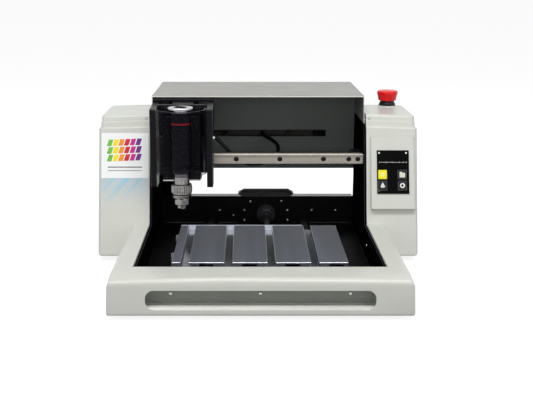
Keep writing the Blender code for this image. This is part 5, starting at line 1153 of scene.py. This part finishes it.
# %% Faded streaks
def faded(name, top, bottom, low, high):
    """A print whose colour fades from one tone to another down the height."""
    material = finish(name, top, 0.34, mottle=0.04, mottle_size=0.02, specular=0.3)
    nodes, links = material.node_tree.nodes, material.node_tree.links
    ramp = nodes["Color Ramp"]
    place = nodes["Texture Coordinate"]
    split = nodes.new("ShaderNodeSeparateXYZ")
    links.new(place.outputs["Object"], split.inputs[0])
    fade = remap(nodes, links, split.outputs["Z"], low, high, 1.0, 0.0)
    mix = nodes.new("ShaderNodeMix")
    mix.data_type = "RGBA"
    links.new(fade, mix.inputs[0])
    links.new(ramp.outputs["Color"], mix.inputs[6])
    mix.inputs[7].default_value = (*tone(bottom), 1)
    links.new(mix.outputs[2], nodes["Principled BSDF"].inputs["Base Color"])
    return material


cover_grey = (206, 208, 201)
haze = faded("pale_blue_haze", (188, 204, 212), cover_grey, 0.112, 0.163)
streak_blue = faded("blue_streak", (150, 200, 220), cover_grey, 0.108, 0.170)
clear_top = sticker_middle - 0.0001
bm = bmesh.new()
leaning_slab(bm, *sticker_x, sticker_low, clear_top)
piece("sticker_haze", bm, haze, "base")
bm = bmesh.new()
for left, width, low in ((-0.2906, 0.0135, 0.1180), (-0.3040, 0.0052, 0.1395), (-0.2560, 0.0060, 0.1270)):
    leaning_slab(bm, left, left + width, low, clear_top, 0.85, print_up)
piece("sticker_streaks", bm, streak_blue, "base")
print("streaks fade from", sticker_middle, "down to", sticker_low)

# %% [markdown]
# ## Spindle cable
# The cable leaves the back panel's slot, hangs in a loop behind the beam and climbs to the carriage.
# A curve with a round bevel follows its route, and the length of that route is measured along the
# curve's points.

# %% Cable
route = [
    (0.011, 0.240, 0.2215), (0.011, 0.232, 0.2212), (0.0125, 0.222, 0.2196), (0.019, 0.213, 0.2162),
    (0.030, 0.203, 0.2115), (0.040, 0.192, 0.2055), (0.045, 0.180, 0.1985), (0.043, 0.169, 0.1895),
    (0.033, 0.159, 0.1795), (0.016, 0.150, 0.1715), (-0.006, 0.142, 0.1690), (-0.028, 0.136, 0.1735),
    (-0.048, 0.131, 0.1860), (-0.064, 0.127, 0.2030), (-0.078, 0.122, 0.2195), (-0.092, 0.117, 0.2335),
    (-0.109, 0.112, 0.2425), (-0.124, 0.1065, 0.2460), (-0.1325, 0.101, 0.2465), (-0.1335, 0.0948, 0.2465),
]
cable_radius = 0.004
curve = bpy.data.curves.new("spindle_cable_line", "CURVE")
curve.dimensions = "3D"
curve.bevel_resolution = 5
curve.use_fill_caps = True
spline = curve.splines.new("BEZIER")
spline.bezier_points.add(len(route) - 1)
for point, place in zip(spline.bezier_points, route):
    point.co = place
    point.handle_left_type = point.handle_right_type = "AUTO"
spline.resolution_u = 6
line = bpy.data.objects.new("spindle_cable_line", curve)
put_in_scene(line)
bpy.context.view_layer.update()
thread = bpy.data.meshes.new_from_object(line)
centreline = [tuple(v.co) for v in thread.vertices]
cable_length = sum((Vector(b) - Vector(a)).length for a, b in zip(centreline, centreline[1:]))
curve.bevel_depth = cable_radius
bpy.context.view_layer.update()
mesh = bpy.data.meshes.new_from_object(line)
bpy.data.objects.remove(line)
mesh.name = "spindle_cable_skin"
mesh.materials.clear()
mesh.materials.append(cable_skin)
mesh.shade_smooth()
cable = bpy.data.objects.new("spindle_cable_skin", mesh)
put_in_scene(cable)
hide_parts("spindle_cable")
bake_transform(cable)
print("cable has", len(mesh.polygons), "faces and is", round(cable_length, 4), "m long")

# %% [markdown]
# ## Small parts on the table and at the back
# Clear clips and a strip finish the table's edges, and the slot in the back panel has a rubber lip.
# A black sheet stands before the power supply's face as painted shade, so that the slot looks dark.
# At the back are the mains pins, the rocker, a data socket and the hub of the table's lead screw.
# Most are small blocks with rounded edges.

# %% Table clips and slot lip
clear_plastic = finish("clear_clip", (112, 116, 122), 0.26, mottle=0.08, mottle_size=0.004)
clip_out, clip_in = table_low.x - 0.0048, table_low.x + 0.0001
clips = []
for y in (-0.0791, -0.1948):
    clips += [
        ((clip_out, y - 0.007, table_low.z + 0.001), (clip_in, y + 0.007, table_high.z - 0.003), 0.0006),
        ((clip_out, y - 0.003, table_high.z - 0.0045), (clip_in, y + 0.003, table_high.z - 0.0005), 0.0005),
    ]
blocks("table_clips", clips, clear_plastic, "table")
near = (table_low.x + 0.0004, table_high.y - 0.0022, table_low.z + 0.0006)
far = (0.0870, table_high.y + 0.0004, table_high.z + 0.0007)
blocks("table_end_strip", [(near, far, 0.0002)], strip_alloy, "table")
# A black sheet before the supply's face: painted shade that keeps the slot in the back panel dark.
supply_low, supply_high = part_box("power_supply")
near = (supply_low.x - 0.004, supply_low.y - 0.0012, supply_low.z + 0.002)
far = (supply_high.x + 0.004, supply_low.y - 0.0004, supply_high.z + 0.004)
blocks("supply_painted_shade_sheet", [(near, far, 0.0002)], black_plastic, "base")
panel_low, panel_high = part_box("back_panel")
lip_near, lip_far = panel_low.y - 0.0012, panel_high.y + 0.0002
lip_low, lip_high, lip_side, lip_half = 0.2147, 0.2280, 0.1506, 0.0007
lips = []
for z in (lip_low, lip_high):
    lips.append(((-lip_side, lip_near, z - lip_half), (lip_side, lip_far, z + lip_half), 0.0004))
for x in (-lip_side, lip_side):
    lips.append(((x - lip_half, lip_near, lip_low), (x + lip_half, lip_far, lip_high), 0.0004))
blocks("slot_lip", lips, rubber, "base")
print("clips, strip, sheet and lip made")

# %% Mains inlet and data socket
softened("power_inlet", black_plastic, 0.0004)
softened("power_rocker", black_plastic, 0.0004)
inlet_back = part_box("power_inlet")[1].y
pins = [
    ((x - 0.0010, inlet_back - 0.0158, z - 0.0020), (x + 0.0010, inlet_back - 0.0030, z + 0.0020), 0.0003)
    for x, z in ((0.138, 0.1765), (0.152, 0.1765), (0.145, 0.1825))
]
blocks("mains_pins", pins, brass, "base")
socket_frame = [((-0.172, cover_back - 0.0002, 0.190), (-0.150, cover_back + 0.0012, 0.206), 0.0005)]
blocks("data_socket_frame", socket_frame, zinc, "base")
socket_mouth = [((-0.167, cover_back, 0.193), (-0.155, cover_back + 0.0014, 0.203), 0.0004)]
blocks("data_socket_mouth", socket_mouth, black_plastic, "base")
low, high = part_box("y_bearing_hub")
hub_place = facing((screw_x, 0, screw_z), front)
# The whole hub takes the paler edge anodising: here it is a painted highlight that shows its ring.
hub = lofted("y_hub_turned", [
    (0.0210, -high.y), (0.0210, -high.y + 0.0105), (0.0202, -high.y + 0.0115), (0.0130, -high.y + 0.0115),
    (0.0120, -high.y + 0.0120), (0.0120, -low.y - 0.0006), (0.0114, -low.y), (0.0044, -low.y),
    (0.0044, -high.y),
], anodised_wear_and_hub_sheen, "base", hub_place, bore=True)
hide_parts("y_bearing_hub")
print("hub from", round(low.y, 4), "to", round(high.y, 4))

# %% [markdown]
# ## Finish

# %% Finish
import json
